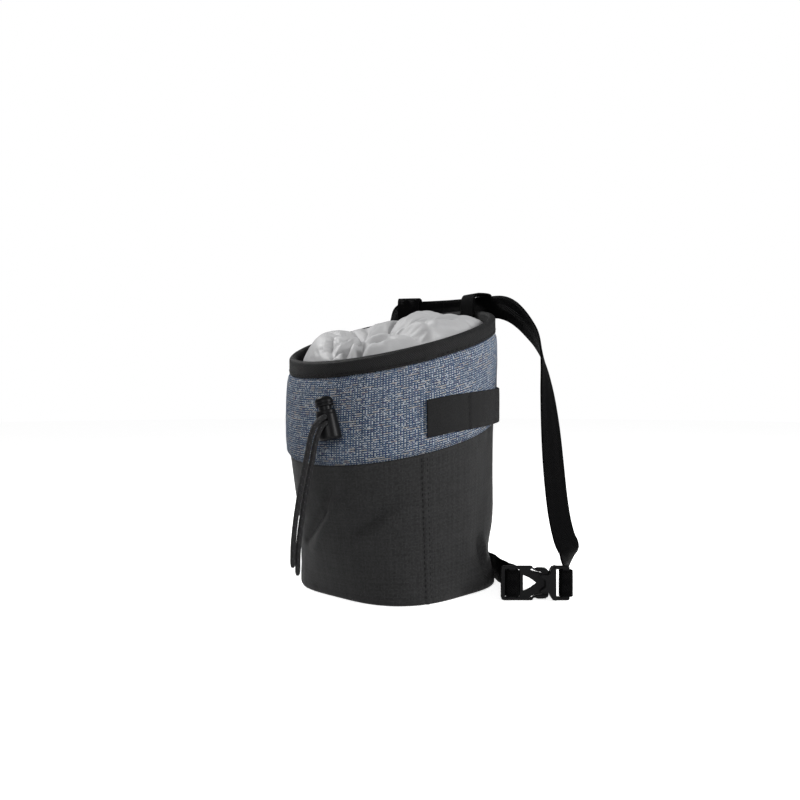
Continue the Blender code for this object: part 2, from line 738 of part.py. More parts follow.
def build_waist_belt(collection, material):
    """One length of webbing: round the socket's bar, up, through both loops, round and to the ladder lock."""
    place = buckle_place()
    up_edge = Vector((0.0, 0.0, 1.0))
    width = WEBBING_WIDTH
    thick = WEBBING_THICKNESS
    sewn = [Vector((SOCKET_BAR - width * 0.07, width * 0.52, 0.0)),
            Vector((SOCKET_BAR - width * 0.08, width * 0.30, 0.0))]
    sewn += wrap_points(SOCKET_BAR, (150, 185, 220, 250, 290, 320, 355, 390))
    start = [(place @ point, up_edge) for point in sewn]
    for _, along, behind, up, edge_x, edge_y, edge_z in TURN_ROWS:
        point = Vector((SOCKET_BAR + along * width, behind * width, up * width))
        edge = place.to_3x3() @ Vector((edge_x, edge_y, edge_z))
        start.append((place @ point, edge))
    slot = LADDER_BAR + BAR_WIDTH / 2 + LADDER_SLOT / 2
    threaded = [Vector((slot, width * 0.9, 0.0)), Vector((slot, width * 0.4, 0.0))]
    threaded += wrap_points(LADDER_BAR, (20, -20, -60, -90, -120, -160, -200))
    threaded += [Vector((LADDER_BAR - width * 0.10, width * 0.36, 0.0)),
                 Vector((LADDER_BAR + width * 0.02, width * 0.82, 0.0))]
    finish = [(place @ point, up_edge) for point in threaded]
    line = start + belt_stations() + finish
    middles = smooth_between([middle for middle, _ in line], 2)
    edges = smooth_between([edge for _, edge in line], 2)
    corners = ribbon_corners(middles, edges, width, thick)
    mesh = mesh_from("waist_belt", corners, tube_faces(len(middles), 4))
    belt = add_object("waist_belt", mesh, material, collection)
    orient(belt)
    smooth(belt)


def upright(mesh):
    """Turn a flat outline's own +Y to +Z."""
    mesh.transform(Matrix.Rotation(math.radians(90.0), 4, "X"))
    return mesh


def plate(name, outline, thickness, place, collection, material):
    """Flat plate with an outline along the buckle's +X and +Z, its thickness along its +Y."""
    mesh = upright(outline_mesh(name, outline, thickness))
    thing = add_object(name, mesh, material, collection)
    thing.matrix_world = place
    return thing


def mirrored(half):
    """Closed outline from its upper half, left to right."""
    return list(half) + [(along, -up) for along, up in reversed(half) if up > 0]


def cut_box(thing, name, low, high, place, cutters):
    """Cut a box out of a piece."""
    work = bmesh.new()
    bmesh.ops.create_cube(work, size=1.0)
    size = Vector(high) - Vector(low)
    bmesh.ops.scale(work, vec=size, verts=work.verts)
    bmesh.ops.translate(work, vec=(Vector(low) + Vector(high)) / 2, verts=work.verts)
    mesh = bpy.data.meshes.new(name)
    work.to_mesh(mesh)
    work.free()
    add_cut(thing, name, mesh, place, cutters)


def add_cut(thing, name, mesh, place, cutters):
    """Cut a closed mesh out of a piece."""
    cutter = bpy.data.objects.new(name, mesh)
    cutters.objects.link(cutter)
    cutter.matrix_world = place
    cutter.hide_render = True
    cutter.display_type = "WIRE"
    boolean = thing.modifiers.new(name, "BOOLEAN")
    boolean.operation = "DIFFERENCE"
    boolean.solver = "EXACT"
    boolean.object = cutter


def build_buckle_male(collection, cutters, material):
    """Ladder lock, two struts and the two side prongs."""
    half = buckle_width() / 2
    slot = slot_length() / 2
    left = LADDER_BAR - BAR_WIDTH / 2 - LADDER_SLOT - LADDER_RAIL
    inner = LADDER_BAR + BAR_WIDTH / 2 + LADDER_SLOT
    arm = inner + LADDER_RAIL * 0.8
    tip = PRONG_END
    rest = tip - arm
    side = half * 0.88
    root = half * 0.44
    outline = mirrored((
        (left, half * 0.84), (left + half * 0.16, half), (arm + rest * 0.36, half), (arm + rest * 0.43, side * 0.95),
        (arm + rest * 0.50, side), (tip - rest * 0.12, side),
        (tip, side * 0.82), (tip, root * 0.5),
    ))
    place = buckle_place()
    male = plate("buckle_male", outline, PRONG_THICKNESS, place, collection, material)
    deep = PRONG_THICKNESS
    first = LADDER_BAR - BAR_WIDTH / 2
    second = LADDER_BAR + BAR_WIDTH / 2
    cut_box(male, "ladder_slot_outer", (first - LADDER_SLOT, -deep, -slot), (first, deep, slot), place, cutters)
    cut_box(male, "ladder_slot_inner", (second, -deep, -slot), (inner, deep, slot), place, cutters)
    window = [(arm, half * 0.47), (arm + rest * 0.53, 0.0), (arm, -half * 0.47)]
    hole = upright(outline_mesh("strut_window", window, 2 * deep))
    add_cut(male, "strut_window", hole, place, cutters)


def build_buckle_female(collection, cutters, material):
    """Socket with side windows for the prongs, and the bar that the belt is sewn round."""
    half = buckle_width() / 2
    slot = slot_length() / 2
    shoulder = PRONG_END + GAP * 2
    right = SOCKET_BAR + BAR_WIDTH / 2
    body = SOCKET_BAR - BAR_WIDTH / 2 - SOCKET_SLOT
    outline = mirrored((
        (SOCKET_MOUTH + half * 0.34, half * 0.18), (SOCKET_MOUTH, half * 0.52), (shoulder - half * 0.05, half * 0.52),
        (shoulder + half * 0.06, half * 0.84), (shoulder + half * 0.20, half * 0.96),
        (body, half), (right - half * 0.06, half), (right, half * 0.94),
    ))
    place = buckle_place()
    female = plate("buckle_female", outline, SOCKET_THICKNESS, place, collection, material)
    deep = SOCKET_THICKNESS
    room = PRONG_THICKNESS / 2 + GAP
    thin = BAR_THICKNESS / 2
    step = body + GAP * 2
    cut_box(female, "prong_room", (SOCKET_MOUTH - half, -room, -half * 1.2), (PRONG_END + GAP, room, half * 1.2),
            place, cutters)
    cut_box(female, "socket_slot", (body, -deep, -slot), (SOCKET_BAR - BAR_WIDTH / 2, deep, slot), place, cutters)
    cut_box(female, "bar_front", (step, -deep, -half * 1.2), (right + deep, -thin, half * 1.2), place, cutters)
    cut_box(female, "bar_back", (step, thin, -half * 1.2), (right + deep, deep, half * 1.2), place, cutters)


def lock_place():
    """Place of the cord lock: origin in the middle of its cord hole, +Z along the barrel, -Y outwards."""
    reach = band_front(LOCK_TURN, LOCK_HEIGHT) + LOCK_STANDOFF + BARREL_FOOT_RADIUS
    middle = outward(LOCK_TURN) * reach
    middle.z = LOCK_HEIGHT
    turn = Matrix.Rotation(math.radians(LOCK_TURN), 4, "Z")
    tilt = Matrix.Rotation(math.radians(-LOCK_TILT), 4, "Y")
    face = Matrix.Rotation(math.radians(LOCK_FACE - LOCK_TURN), 4, "Z")
    return Matrix.Translation(middle) @ turn @ tilt @ face


def band_front(angle, height):
    """Outer distance of the band from the bag's axis at a height."""
    rim = rim_point(angle)
    foot = seam_point(angle)
    share = (rim.z - BINDING_WIDTH - height) / (rim.z - BINDING_WIDTH - foot.z)
    return band_point(angle, share, band_puff(share)).xy.length


def turned(name, profile, place, collection, material):
    """Solid turned round +Z from a profile of radius and height, from its top to its foot."""
    corners = [Vector((radius, 0.0, up)) for radius, up in profile]
    mesh = bpy.data.meshes.new(name)
    mesh.from_pydata([tuple(corner) for corner in corners], [(i, i + 1) for i in range(len(corners) - 1)], [])
    thing = add_object(name, mesh, material, collection)
    thing.matrix_world = place
    screw = thing.modifiers.new("turn", "SCREW")
    screw.axis = "Z"
    screw.angle = math.tau
    screw.steps = TURN_STEPS
    screw.render_steps = TURN_STEPS
    screw.use_merge_vertices = True
    screw.merge_threshold = 0.01 * MM
    screw.use_smooth_shade = True
    return thing


def slot_mesh(name, width, low, high, deep):
    """Closed slot with round ends, through along Y."""
    radius = width / 2
    outline = []
    for turn in range(0, 181, 30):
        outline.append((radius * cos_deg(turn), high - radius + radius * math.sin(math.radians(turn))))
    for turn in range(180, 361, 30):
        outline.append((radius * cos_deg(turn), low + radius + radius * math.sin(math.radians(turn))))
    return upright(outline_mesh(name, outline, 2 * deep))


def build_cord_lock(collection, cutters, material):
    """Barrel with a blind bore and a cord hole, and the button whose shaft slides in it."""
    place = lock_place()
    bore = SHAFT_RADIUS + RUNNING_GAP
    width = CORD_DIAMETER + 2 * RUNNING_GAP
    tall = (CORD_SPREAD + width) / 2
    edge = BARREL_TOP_RADIUS * 0.12
    foot = -BARREL_FOOT
    barrel = turned("cord_lock_barrel", (
        (bore, BARREL_TOP), (BARREL_TOP_RADIUS - edge, BARREL_TOP), (BARREL_TOP_RADIUS, BARREL_TOP - edge),
        (BARREL_FOOT_RADIUS, foot + 3 * edge), (BARREL_FOOT_RADIUS - edge, foot + edge),
        (BARREL_FOOT_RADIUS - 3 * edge, foot), (0.0, foot), (0.0, foot + BARREL_FLOOR), (bore, foot + BARREL_FLOOR),
        (bore, BARREL_TOP),
    ), place, collection, material)
    add_cut(barrel, "cord_hole", slot_mesh("cord_hole", width, -tall, tall, 2 * BARREL_FOOT_RADIUS), place, cutters)
    head = BARREL_TOP + BUTTON_TRAVEL + GAP
    top = head + BUTTON_HEAD
    reach = foot + BARREL_FLOOR + BUTTON_TRAVEL + 2 * GAP
    button = turned("cord_lock_button", (
        (0.0, top), (BUTTON_RADIUS * 0.55, top - BUTTON_HEAD * 0.06), (BUTTON_RADIUS * 0.86, top - BUTTON_HEAD * 0.24),
        (BUTTON_RADIUS * 0.96, head + BUTTON_HEAD * 0.45), (BUTTON_RADIUS, head + BUTTON_HEAD * 0.36),
        (BUTTON_RADIUS, head + BUTTON_HEAD * 0.12), (BUTTON_RADIUS * 0.94, head), (SHAFT_RADIUS, head),
        (SHAFT_RADIUS, reach), (0.0, reach),
    ), place, collection, material)
    slot = slot_mesh("shaft_slot", width, -tall, tall + BUTTON_TRAVEL, 2 * SHAFT_RADIUS)
    add_cut(button, "shaft_slot", slot, place, cutters)


def strand_points(upper, drop):
    """Route of one strand: out of the band, through the lock, over its mouth and down."""
    place = lock_place()
    lane = CORD_SPREAD / 2 if upper else -CORD_SPREAD / 2
    back = (BARREL_FOOT_RADIUS + LOCK_STANDOFF) / cos_deg(LOCK_FACE - LOCK_TURN) - CORD_DIAMETER * 0.30
    mouth = -BARREL_FOOT_RADIUS * 0.97
    through = [Vector((0.0, back + (mouth - back) * part / 4, lane)) for part in range(5)]
    points = [place @ point for point in through]
    start = points[-1]
    front = outward(LOCK_TURN)
    right = Vector((-front.y, front.x, 0.0))
    wider = STRAND_LANE if upper else 0.0
    for share, sideways, forwards in STRAND_ROWS:
        bend = min(forwards / STRAND_ROWS[3][2], 1.0)
        way = front * (forwards + wider * bend) + right * (sideways - wider * 0.15 * bend)
        point = start + way * CORD_DIAMETER
        point.z = start.z - share * drop
        points.append(point)
    return points


def build_strand(name, upper, drop, collection, material):
    """One hanging strand of the drawcord."""
    points = smooth_between(strand_points(upper, drop), 2)
    curve = bpy.data.curves.new(name, "CURVE")
    curve.dimensions = "3D"
    curve.bevel_depth = CORD_DIAMETER / 2
    curve.bevel_resolution = 2
    curve.use_fill_caps = True
    spline = curve.splines.new("POLY")
    spline.points.add(len(points) - 1)
    for slot, point in zip(spline.points, points):
        slot.co = (*point, 1.0)
    add_object(name, curve, material, collection)


def main():
    """Build every piece."""
    clear_scene()
    bag = bpy.data.collections.new("climbing_chalk_bag")
    bpy.context.scene.collection.children.link(bag)
    cutters = bpy.data.collections.new("cutters")
    bpy.context.scene.collection.children.link(cutters)
    cloth = make_material("black_cloth", CLOTH_BLACK, 0.85)
    tweed = make_material("blue_tweed", TWEED_BLUE, 0.9)
    tape = make_material("black_tape", TAPE_BLACK, 0.8)
    nylon = make_material("grey_nylon", NYLON_GREY, 0.55)
    webbing = make_material("black_webbing", TAPE_BLACK, 0.75)
    build_lower_body(bag, cloth)
    build_base_panel(bag, cloth)
    build_upper_panel(bag, tweed)
    build_rim_binding(bag, tape)
    build_inner_collar(bag, nylon)
    build_brush_strip(bag, tape)
    build_belt_loop("belt_loop_left", LOOP_LEFT_TURN, bag, webbing)
    build_belt_loop("belt_loop_right", LOOP_RIGHT_TURN, bag, webbing)
    build_waist_belt(bag, webbing)
    plastic = make_material("black_plastic", PLASTIC_BLACK, 0.35)
    cord = make_material("black_cord", TAPE_BLACK, 0.7)
    build_buckle_male(bag, cutters, plastic)
    build_buckle_female(bag, cutters, plastic)
    build_cord_lock(bag, cutters, plastic)
    build_strand("drawcord_left", True, STRAND_DROP_LEFT, bag, cord)
    build_strand("drawcord_right", False, STRAND_DROP_RIGHT, bag, cord)


main()
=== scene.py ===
"""Climbing chalk bag: its cloth, webbing, cord and fittings, laid over the fixed frame.

Metres, +Z up. The bag's front, with the cord lock, faces -Y. Angles go round the bag from the front towards +X.
"""

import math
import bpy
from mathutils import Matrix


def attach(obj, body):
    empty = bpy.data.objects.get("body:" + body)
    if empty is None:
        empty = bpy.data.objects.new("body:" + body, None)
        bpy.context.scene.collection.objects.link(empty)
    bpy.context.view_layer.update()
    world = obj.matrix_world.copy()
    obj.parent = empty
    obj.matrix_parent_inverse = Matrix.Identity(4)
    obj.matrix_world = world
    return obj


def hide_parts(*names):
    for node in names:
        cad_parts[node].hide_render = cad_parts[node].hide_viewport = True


bl_info = {
    "name": "Climbing Chalk Bag",
    "version": (1, 0, 0),
    "blender": (4, 5, 0),
    "location": "View3D > Sidebar > Chalk Bag",
    "description": "Cloth, webbing, cord and fittings of a climbing chalk bag",
    "category": "Object",
}

import bmesh
import bpy
from bpy.props import FloatProperty, FloatVectorProperty, PointerProperty
from mathutils import Matrix, Vector, noise

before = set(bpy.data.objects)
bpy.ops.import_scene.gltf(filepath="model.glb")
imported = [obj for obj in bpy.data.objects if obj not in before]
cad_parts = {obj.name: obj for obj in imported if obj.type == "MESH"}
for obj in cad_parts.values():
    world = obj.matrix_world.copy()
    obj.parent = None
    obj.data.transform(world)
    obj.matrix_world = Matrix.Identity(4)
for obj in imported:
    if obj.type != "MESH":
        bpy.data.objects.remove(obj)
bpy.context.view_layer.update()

MM = 0.001
GAP = 0.3 * MM

# Bag body
BASE_RADIUS = 57.2 * MM
BASE_SQUARENESS = 0.06
CORNER_TURN = 39.6
SEAM_RADIUS = 63.6 * MM
SEAM_HEIGHT = 93.9 * MM
SEAM_SLOPE = 0.2422
SEAM_OVAL = 0.022
SEAM_OVAL_TURN = 174.0
SEAM_HIGH_TURN = 179.0
RIM_RADIUS = 62.5 * MM
RIM_HEIGHT = 155.8 * MM
RIM_SLOPE = 0.2935
RIM_OVAL = -0.0285
RIM_OVAL_TURN = 38.0
RIM_HIGH_TURN = 175.8
TOP_SHIFT = Vector((-2.9 * MM, -2.3 * MM, 0.0))
PANEL_WALL = 2.2 * MM
SEAM_STEP = 0.4 * MM            # how far the black cloth stands behind the band at the seam
BAND_PUFF = 3.0 * MM           # puff of the band in the frame's solid
CREASE_TALL = 90.0             # millimetres of height that count as much as degrees beside a crease
SIDE_SEAM = 55.2               # angle of the side seam, the other one is opposite
SIDE_STITCHES = 1.55           # degrees from a side seam to its rows of stitches
CLOTH_THICKNESS = 0.8 * MM
BAND_THICKNESS = 0.9 * MM
BOTTOM_THICKNESS = 1.4 * MM
BOTTOM_ROLL = 2.4 * MM         # height in which the black cloth rolls in to the bottom
BOTTOM_SHARE = 0.965           # edge of the bottom panel / edge of the body
BODY_WAVE = 15.0 * MM          # size of the uneven waves in the black cloth
BAND_WAVE = 21.0 * MM          # and in the band
LINING_WAVE = 13.0 * MM        # and in its lining

# Binding, collar, strip, webbing
BINDING_WIDTH = 9.7 * MM
BINDING_TAPE = 1.0 * MM
BINDING_STITCHES = 0.86        # place of the stitch line / BINDING_WIDTH, from the rim down
COLLAR_RISE = 11.0 * MM
COLLAR_DROP = 4.0 * MM
COLLAR_INSET = 8.0 * MM
COLLAR_PULL = 2.5 * MM
COLLAR_PULL_TURN = -52.0
MOUTH = Vector((-3.0 * MM, -28.0 * MM, 0.0))
MOUTH_RADIUS = 6.0 * MM
HEM_LENGTH = 7.0 * MM
STRIP_WIDTH = 21.0 * MM
STRIP_THICKNESS = 1.1 * MM
STRIP_ACROSS = (0.0, 0.015, 0.06, 0.15, 0.3, 0.5, 0.7, 0.85, 0.94, 0.985, 1.0)
WEBBING_WIDTH = 15.0 * MM
WEBBING_THICKNESS = 1.3 * MM
LOOP_LEFT_TURN = 207.0
LOOP_RIGHT_TURN = 158.0
LOOP_ROOM = 6.2 * MM
BELT_LIFT = 1.4 * MM
BELT_REACH = 30.0 * MM          # unit of the belt's distance from the wall
STRIP_LINE_TURN = 81.0         # angle of the strip's middle stitch line
STRIP_END_INSET = 1.5          # degrees from the strip's end to its last stitch line

# Buckle
BUCKLE_PLACE = (89.2 * MM, 12.6 * MM)
BUCKLE_TURN = 38.0
BUCKLE_RAIL = 1.9 * MM
SLOT_SPARE = 1.0 * MM
BAR_WIDTH = 4.2 * MM
BAR_THICKNESS = 2.6 * MM
SOCKET_THICKNESS = 6.2 * MM
LADDER_BAR = -12.5 * MM
LADDER_SLOT = 2.3 * MM
LADDER_RAIL = 2.2 * MM
SOCKET_BAR = 18.3 * MM
SOCKET_SLOT = 3.75 * MM
PRONG_THICKNESS = 2.6 * MM
PRONG_END = 8.4 * MM
SOCKET_MOUTH = 2.8 * MM

# Cord lock
LOCK_TURN = 6.3
LOCK_HEIGHT = 104.0 * MM
LOCK_FACE = 30.0
LOCK_TILT = 12.0
LOCK_STANDOFF = 0.8 * MM
BARREL_TOP_RADIUS = 5.6 * MM
BARREL_FOOT_RADIUS = 6.6 * MM
BARREL_TOP = 5.8 * MM
BARREL_FOOT = 10.6 * MM
BUTTON_RADIUS = 5.2 * MM
BUTTON_HEAD = 5.6 * MM
BUTTON_TRAVEL = 2.0 * MM
SHAFT_RADIUS = 3.6 * MM
BARREL_EDGE = 0.7 * MM         # rounding of the barrel's upper edge
BARREL_FOOT_EDGE = 1.3 * MM    # and of its foot
BARREL_COLLAR = 2.0 * MM       # height of the ring below its upper edge
BARREL_FLOOR = 1.4 * MM        # thickness of its closed foot
BUTTON_CAP = 2.3 * MM          # height of the button's rim and groove, under its dome
CORD_DIAMETER = 3.0 * MM
CORD_SPREAD = 3.3 * MM
STRAND_DROP_LEFT = 82.0 * MM
STRAND_DROP_RIGHT = 83.5 * MM
STRAND_LANE = 0.95              # how far the upper strand hangs in front of the other / CORD_DIAMETER
CORD_TAPER = 2.5 * MM          # length of the strand's heat-cut end
CORD_SIDES = 20

# Collar's cloth
FOLDS_TURN = 38.0              # angle that the table of its folds is seen from
COLLAR_FOLD_SCALE = 1.35
COLLAR_NYLON = 0.4 * MM
COLLAR_GATHER = 0.5 * MM       # height of the gathers before the cloth settles
COLLAR_PLEAT = 0.5 * MM        # height of the pleats round the mouth
COLLAR_COLUMNS = 264
COLLAR_TURNS = 46              # rows of the cloth from its sewn edge to the mouth
COLLAR_BEND = 0.05             # bending stiffness of the cloth while it settles
COLLAR_PRESSURE = 0.2          # air that puffs it
COLLAR_MOMENTS = 20            # moments of time that the cloth is given to settle
COLLAR_GROWTH = 0.03           # share by which the cloth is wider than its puffed shape
COLLAR_CAP = 7.0 * MM          # farthest that a point of it may move
CLOTH_SCALE = 10.0             # the cloth settles this many times as large, where its stiffness suits the step

# Meshes
RING = 324                     # columns round the body and the band
BODY_ROWS = 96
BAND_ROWS = 66
LINING_ROWS = 30
BINDING_COLUMNS = 432
STRIP_STEPS = 140
STITCH_SIDES = 8
TURNED_STEPS = 64

# Camera and stage
CAMERA_ASIDE = 1.0 * MM        # how far the camera stands to the right of the bag's axis
CAMERA_PITCH = 0.0129          # radians that it looks down
FLOOR_REACH = 3.0
FLOOR_GLOW = 0.76              # glow of the floor, so that it stays as pale as the backdrop
AIM = Vector((0.0, 0.0, 0.09))
# light, place to the right of the bag, away from the camera and up, size, all in metres
LIGHTS = (
    ("key", -0.38, 0.26, 0.60, 0.24),
    ("side", 0.75, -0.30, 0.40, 0.35),
    ("fill", -0.10, -0.80, 0.35, 0.35),
)

# name, angle, share of the wall's height, spread in degrees, spread in height, depth / fold depth
DENTS = (
    ("pinch over the right corner", 128, 0.20, 24, 0.13, 0.95),
    ("hollow behind the cord", -50, 0.42, 20, 0.22, 0.35),
    ("slack under the cord lock", 12, 0.52, 16, 0.16, 0.22),
    ("soft back", 205, 0.45, 30, 0.25, 0.40),
)
# name, angle and height of one end, angle and height of the other, width in degrees, depth / fold depth
CREASES = (
    ("drag fold to the left", -26, 0.42, 8, 0.86, 7, 0.36),
    ("soft fold on the front", 16, 0.50, 40, 0.72, 8, 0.16),
    ("crease to the right corner", 92, 0.36, 112, 0.06, 6, 0.22),
)
# the same columns, for the folds that only the cloth has
FINE_CREASES = (
    ("drag fold, sharp part", -27, 0.40, -5, 0.66, 3.2, 0.72),
    ("drag fold, upper part", -5, 0.65, 9, 0.97, 2.6, 0.66),
    ("ridge beside the drag fold", -16, 0.36, 8, 0.72, 4.0, -0.46),
    ("soft fold to the side seam", 17, 0.55, 40, 0.72, 3.4, 0.42),
    ("ridge under it", 18, 0.44, 42, 0.62, 4.4, -0.28),
    ("crease over the right corner", 96, 0.34, 107, 0.12, 2.4, 0.46),
    ("bright edge beside it", 101, 0.34, 112, 0.14, 2.8, -0.40),
    ("left corner crease", -58, 0.30, -36, 0.08, 4.0, 0.07),
    ("bottom tuck on the front", 4, 0.02, 18, 0.16, 3.0, 0.03),
    ("back fold one", 190, 0.20, 226, 0.62, 7.0, 0.12),
    ("back fold two", 250, 0.75, 292, 0.38, 7.0, 0.14),
    ("back fold three", 150, 0.70, 172, 0.34, 6.0, 0.10),
    ("left fold", -100, 0.80, -74, 0.50, 6.0, 0.12),
)
# share of the band's height from the binding down, share of its puff
PUFF_ROWS = ((0.0, 0.0), (0.05, 0.60), (0.18, 0.88), (0.42, 1.0), (0.70, 0.95), (0.92, 0.70), (1.0, 0.0))
# name, angle, share of the band's height, spread in degrees, spread in height, depth / puff
BAND_DENTS = (
    ("pressed by the brush strip", 104, 0.60, 42, 0.34, 0.42),
    ("pressed by the cord lock", 6, 0.50, 12, 0.30, 0.12),
)
# share of the way to the mouth, share of COLLAR_RISE over the rim
COLLAR_ROWS = (
    (0.00, 0.00), (0.10, 0.50), (0.24, 0.88), (0.42, 1.02), (0.60, 1.00), (0.78, 0.82), (0.92, 0.52), (1.00, 0.20),
)
# name, angle, share of the way to the mouth, spread in degrees, spread of the share, height / COLLAR_RISE
COLLAR_LUMPS = (
    ("left lump", -58, 0.42, 32, 0.35, 0.08),
    ("right lump", 152, 0.50, 48, 0.45, -0.48),
    ("low front", 48, 0.45, 52, 0.48, -0.50),
    ("left front valley", -5, 0.60, 16, 0.40, -0.20),
    ("hollow behind the mouth", 230, 0.55, 40, 0.55, -0.70),
)
# name, place of one end on the plan as seen from FOLDS_TURN, to the right and away, then that of the other end,
# half width at both ends and height, all in mm
COLLAR_FOLDS = (
    ("front cushion", -20, -47, 1, -48, 3.5, 5.0, 2.2),
    ("crease behind the cushion", -17, -36, -3, -44, 1.3, 2.0, -4.5),
    ("rolled ridge behind the crease", -18, -30, 0, -40, 2.0, 2.4, 2.4),
    ("fine crease on the tent", -5, -24, 1, -37, 1.2, 1.4, -2.4),
    ("long ridge to the rim", -3, -18, 23, -48, 2.4, 2.8, 3.3),
    ("hollow under the long ridge", -3, -28, 17, -51, 1.8, 2.2, -2.6),
    ("slit", 5, -26, 17, -31, 1.5, 1.8, -6.4),
    ("lip over the slit", 4, -21, 20, -25, 1.8, 2.2, 2.0),
    ("end of the slit", 20, -27, 24, -36, 1.8, 2.4, 1.6),
    ("upper crease", 14, -19, 27, -22, 1.6, 1.8, -3.2),
    ("upper dimple", 6, -13, 10, -14, 2.0, 2.2, -2.0),
    ("right dimple", 30, -23, 34, -24, 2.0, 2.4, -3.2),
    ("right ridge", 26, -16, 38, -20, 2.2, 2.6, 1.4),
    ("valley beside the left lump", -29, -36, -31, -50, 1.4, 2.2, -4.5),
    ("small flap", -25, -35, -27, -50, 1.6, 2.4, 2.2),
    ("pit in front of the mouth", -20, -32, -22, -52, 1.8, 2.6, -6.5),
    ("crease under the left flap", -38, -40, -21, -30, 1.6, 1.4, -3.0),
    ("left flap", -36, -34, -22, -27, 2.4, 2.0, 2.2),
    ("crease down the left lump", -39, -18, -38, -38, 1.6, 1.8, -2.0),
    ("crease behind the left lump", -28, -14, -44, 4, 2.4, 3.0, -2.4),
    ("crease behind the mouth", -22, -8, -30, 26, 2.4, 3.4, -2.6),
    ("back ridge", -14, -4, -16, 36, 3.0, 4.0, 0.5),
    ("back valley", -6, 2, 4, 40, 2.6, 3.4, -2.8),
    ("back ridge to the right", 4, 4, 28, 32, 3.0, 4.0, 1.8),
    ("crease to the right end", 12, -4, 44, 10, 2.2, 2.8, -1.8),
)
# angle, height of the strip's lower edge over the seam / STRIP_WIDTH
STRIP_ROWS = (
    (55.7, 0.43), (70.0, 0.40), (80.0, 0.33), (90.0, 0.25), (100.0, 0.16),
    (110.0, 0.07), (120.0, -0.03), (128.0, -0.10), (136.0, -0.15),
)
# way of the webbing out of the socket's bar: along, behind and up / WEBBING_WIDTH, upper edge's direction
TURN_ROWS = (
    ("behind the bar", 0.13, 0.32, 0.00, 0.0, 0.0, 1.0),
    ("turn up 1", 0.14, 0.56, 0.10, 0.0, -0.40, 0.92),
    ("turn up 2", 0.17, 0.72, 0.42, -0.25, -0.82, 0.50),
    ("turn up 3", 0.21, 0.72, 0.82, -0.62, -0.76, 0.10),
    ("over the buckle", 0.24, 0.64, 1.20, -0.88, -0.46, 0.00),
)
# angle, distance from the wall / BELT_REACH, share of the loops' height, upper edge's angle and rise in degrees
BELT_ROWS = (
    ("lower run 1", 107.4, 1.53, 0.160, -29, 2),
    ("lower run 2", 106.9, 1.44, 0.227, -27, 0),
    ("lower run 3", 106.4, 1.37, 0.310, -26, 0),
    ("lower run 4", 106.8, 1.29, 0.420, -24, 0),
    ("lower run 5", 108.9, 1.20, 0.540, -16, 0),
    ("lower run 6", 111.5, 1.11, 0.655, -2, 0),
    ("lower run 7", 114.7, 1.03, 0.745, 14, 4),
    ("edge on", 118.3, 0.95, 0.810, 27, 14),
    ("arch 1", 123.3, 0.85, 0.862, 38, 28),
    ("arch 2", 127.8, 0.73, 0.902, 44, 42),
    ("arch 3", 132.5, 0.57, 0.946, 50, 54),
    ("arch 4", 138.0, 0.43, 0.978, 62, 66),
    ("arch 5", 144.5, 0.30, 0.996, 100, 78),
    ("into the right loop", 151.5, 0.19, 0.999, 148, 86),
    ("right loop", 158.0, 0.15, 1.000, 156, 88),
    ("out of the right loop", 164.5, 0.12, 1.000, 164, 88),
    ("back 1", 171.0, 0.10, 1.000, 171, 88),
    ("back 2", 183.0, 0.09, 1.000, 183, 88),
    ("back 3", 195.0, 0.09, 1.000, 195, 88),
    ("into the left loop", 203.5, 0.10, 1.000, 203, 88),
    ("left loop", 210.0, 0.13, 1.000, 209, 88),
    ("out of the left loop", 216.5, 0.18, 0.992, 213, 84),
    ("over the back 1", 221.5, 0.27, 0.945, 215, 50),
    ("over the back 2", 225.0, 0.35, 0.870, 218, 20),
    ("fall 1", 227.0, 0.41, 0.770, 220, 5),
    ("fall 2", 227.0, 0.44, 0.620, 220, 0),
    ("fall 3", 226.0, 0.52, 0.430, 218, 0),
    ("fall 4", 222.5, 0.60, 0.250, 214, 2),
    ("turn to the floor", 215.5, 0.72, 0.090, 210, 8),
    ("floor 1", 206.0, 0.78, 0.015, 204, 22),
    ("floor 2", 194.0, 0.72, 0.000, 195, 48),
    ("floor 3", 181.0, 0.50, 0.000, 182, 74),
    ("floor 4", 167.0, 0.24, 0.000, 168, 90),
    ("floor 5", 153.0, 0.12, 0.000, 153, 90),
    ("round the corner", 140.0, 0.09, 0.000, 140, 90),
    ("past the corner", 127.0, 0.10, 0.000, 127, 90),
    ("to the ladder lock", 117.0, 0.30, 0.000, 117, 90),
)
# share of the strand's drop, way to the right and to the front of the hole's mouth / CORD_DIAMETER
STRAND_ROWS = (
    (0.020, -0.05, 0.85), (0.060, -0.30, 1.50), (0.130, -0.75, 1.85), (0.25, -1.45, 1.95), (0.40, -2.50, 2.00),
    (0.55, -3.35, 2.00), (0.70, -4.10, 2.00), (0.85, -4.60, 2.00), (1.00, -4.70, 2.00),
)
# share along one stitch, share of its thickness
STITCH_ROWS = ((0.0, 0.12), (0.10, 0.62), (0.28, 0.95), (0.5, 1.0), (0.72, 0.95), (0.90, 0.62), (1.0, 0.12))
# share of the ribbon's half width, share of its half thickness
RIBBON_ROWS = (
    (-1.0, 0.35), (-0.985, 0.80), (-0.93, 1.0), (-0.80, 0.93), (-0.5, 0.97), (0.0, 1.0),
    (0.5, 0.97), (0.80, 0.93), (0.93, 1.0), (0.985, 0.80), (1.0, 0.35),
)
# share of the bottom's radius, height over the floor in mm
BOTTOM_ROWS = (
    (1.0, 0.35), (0.985, 0.5), (0.97, 1.0), (0.955, 1.35), (0.935, 1.0), (0.90, 0.5), (0.82, 0.4),
    (0.70, 0.42), (0.55, 0.5), (0.40, 0.6), (0.25, 0.65), (0.12, 0.7),
)


def length(name, description, default, least=0.0):
    """Setting for a length."""
    return FloatProperty(name=name, description=description, default=default, min=least, unit="LENGTH")


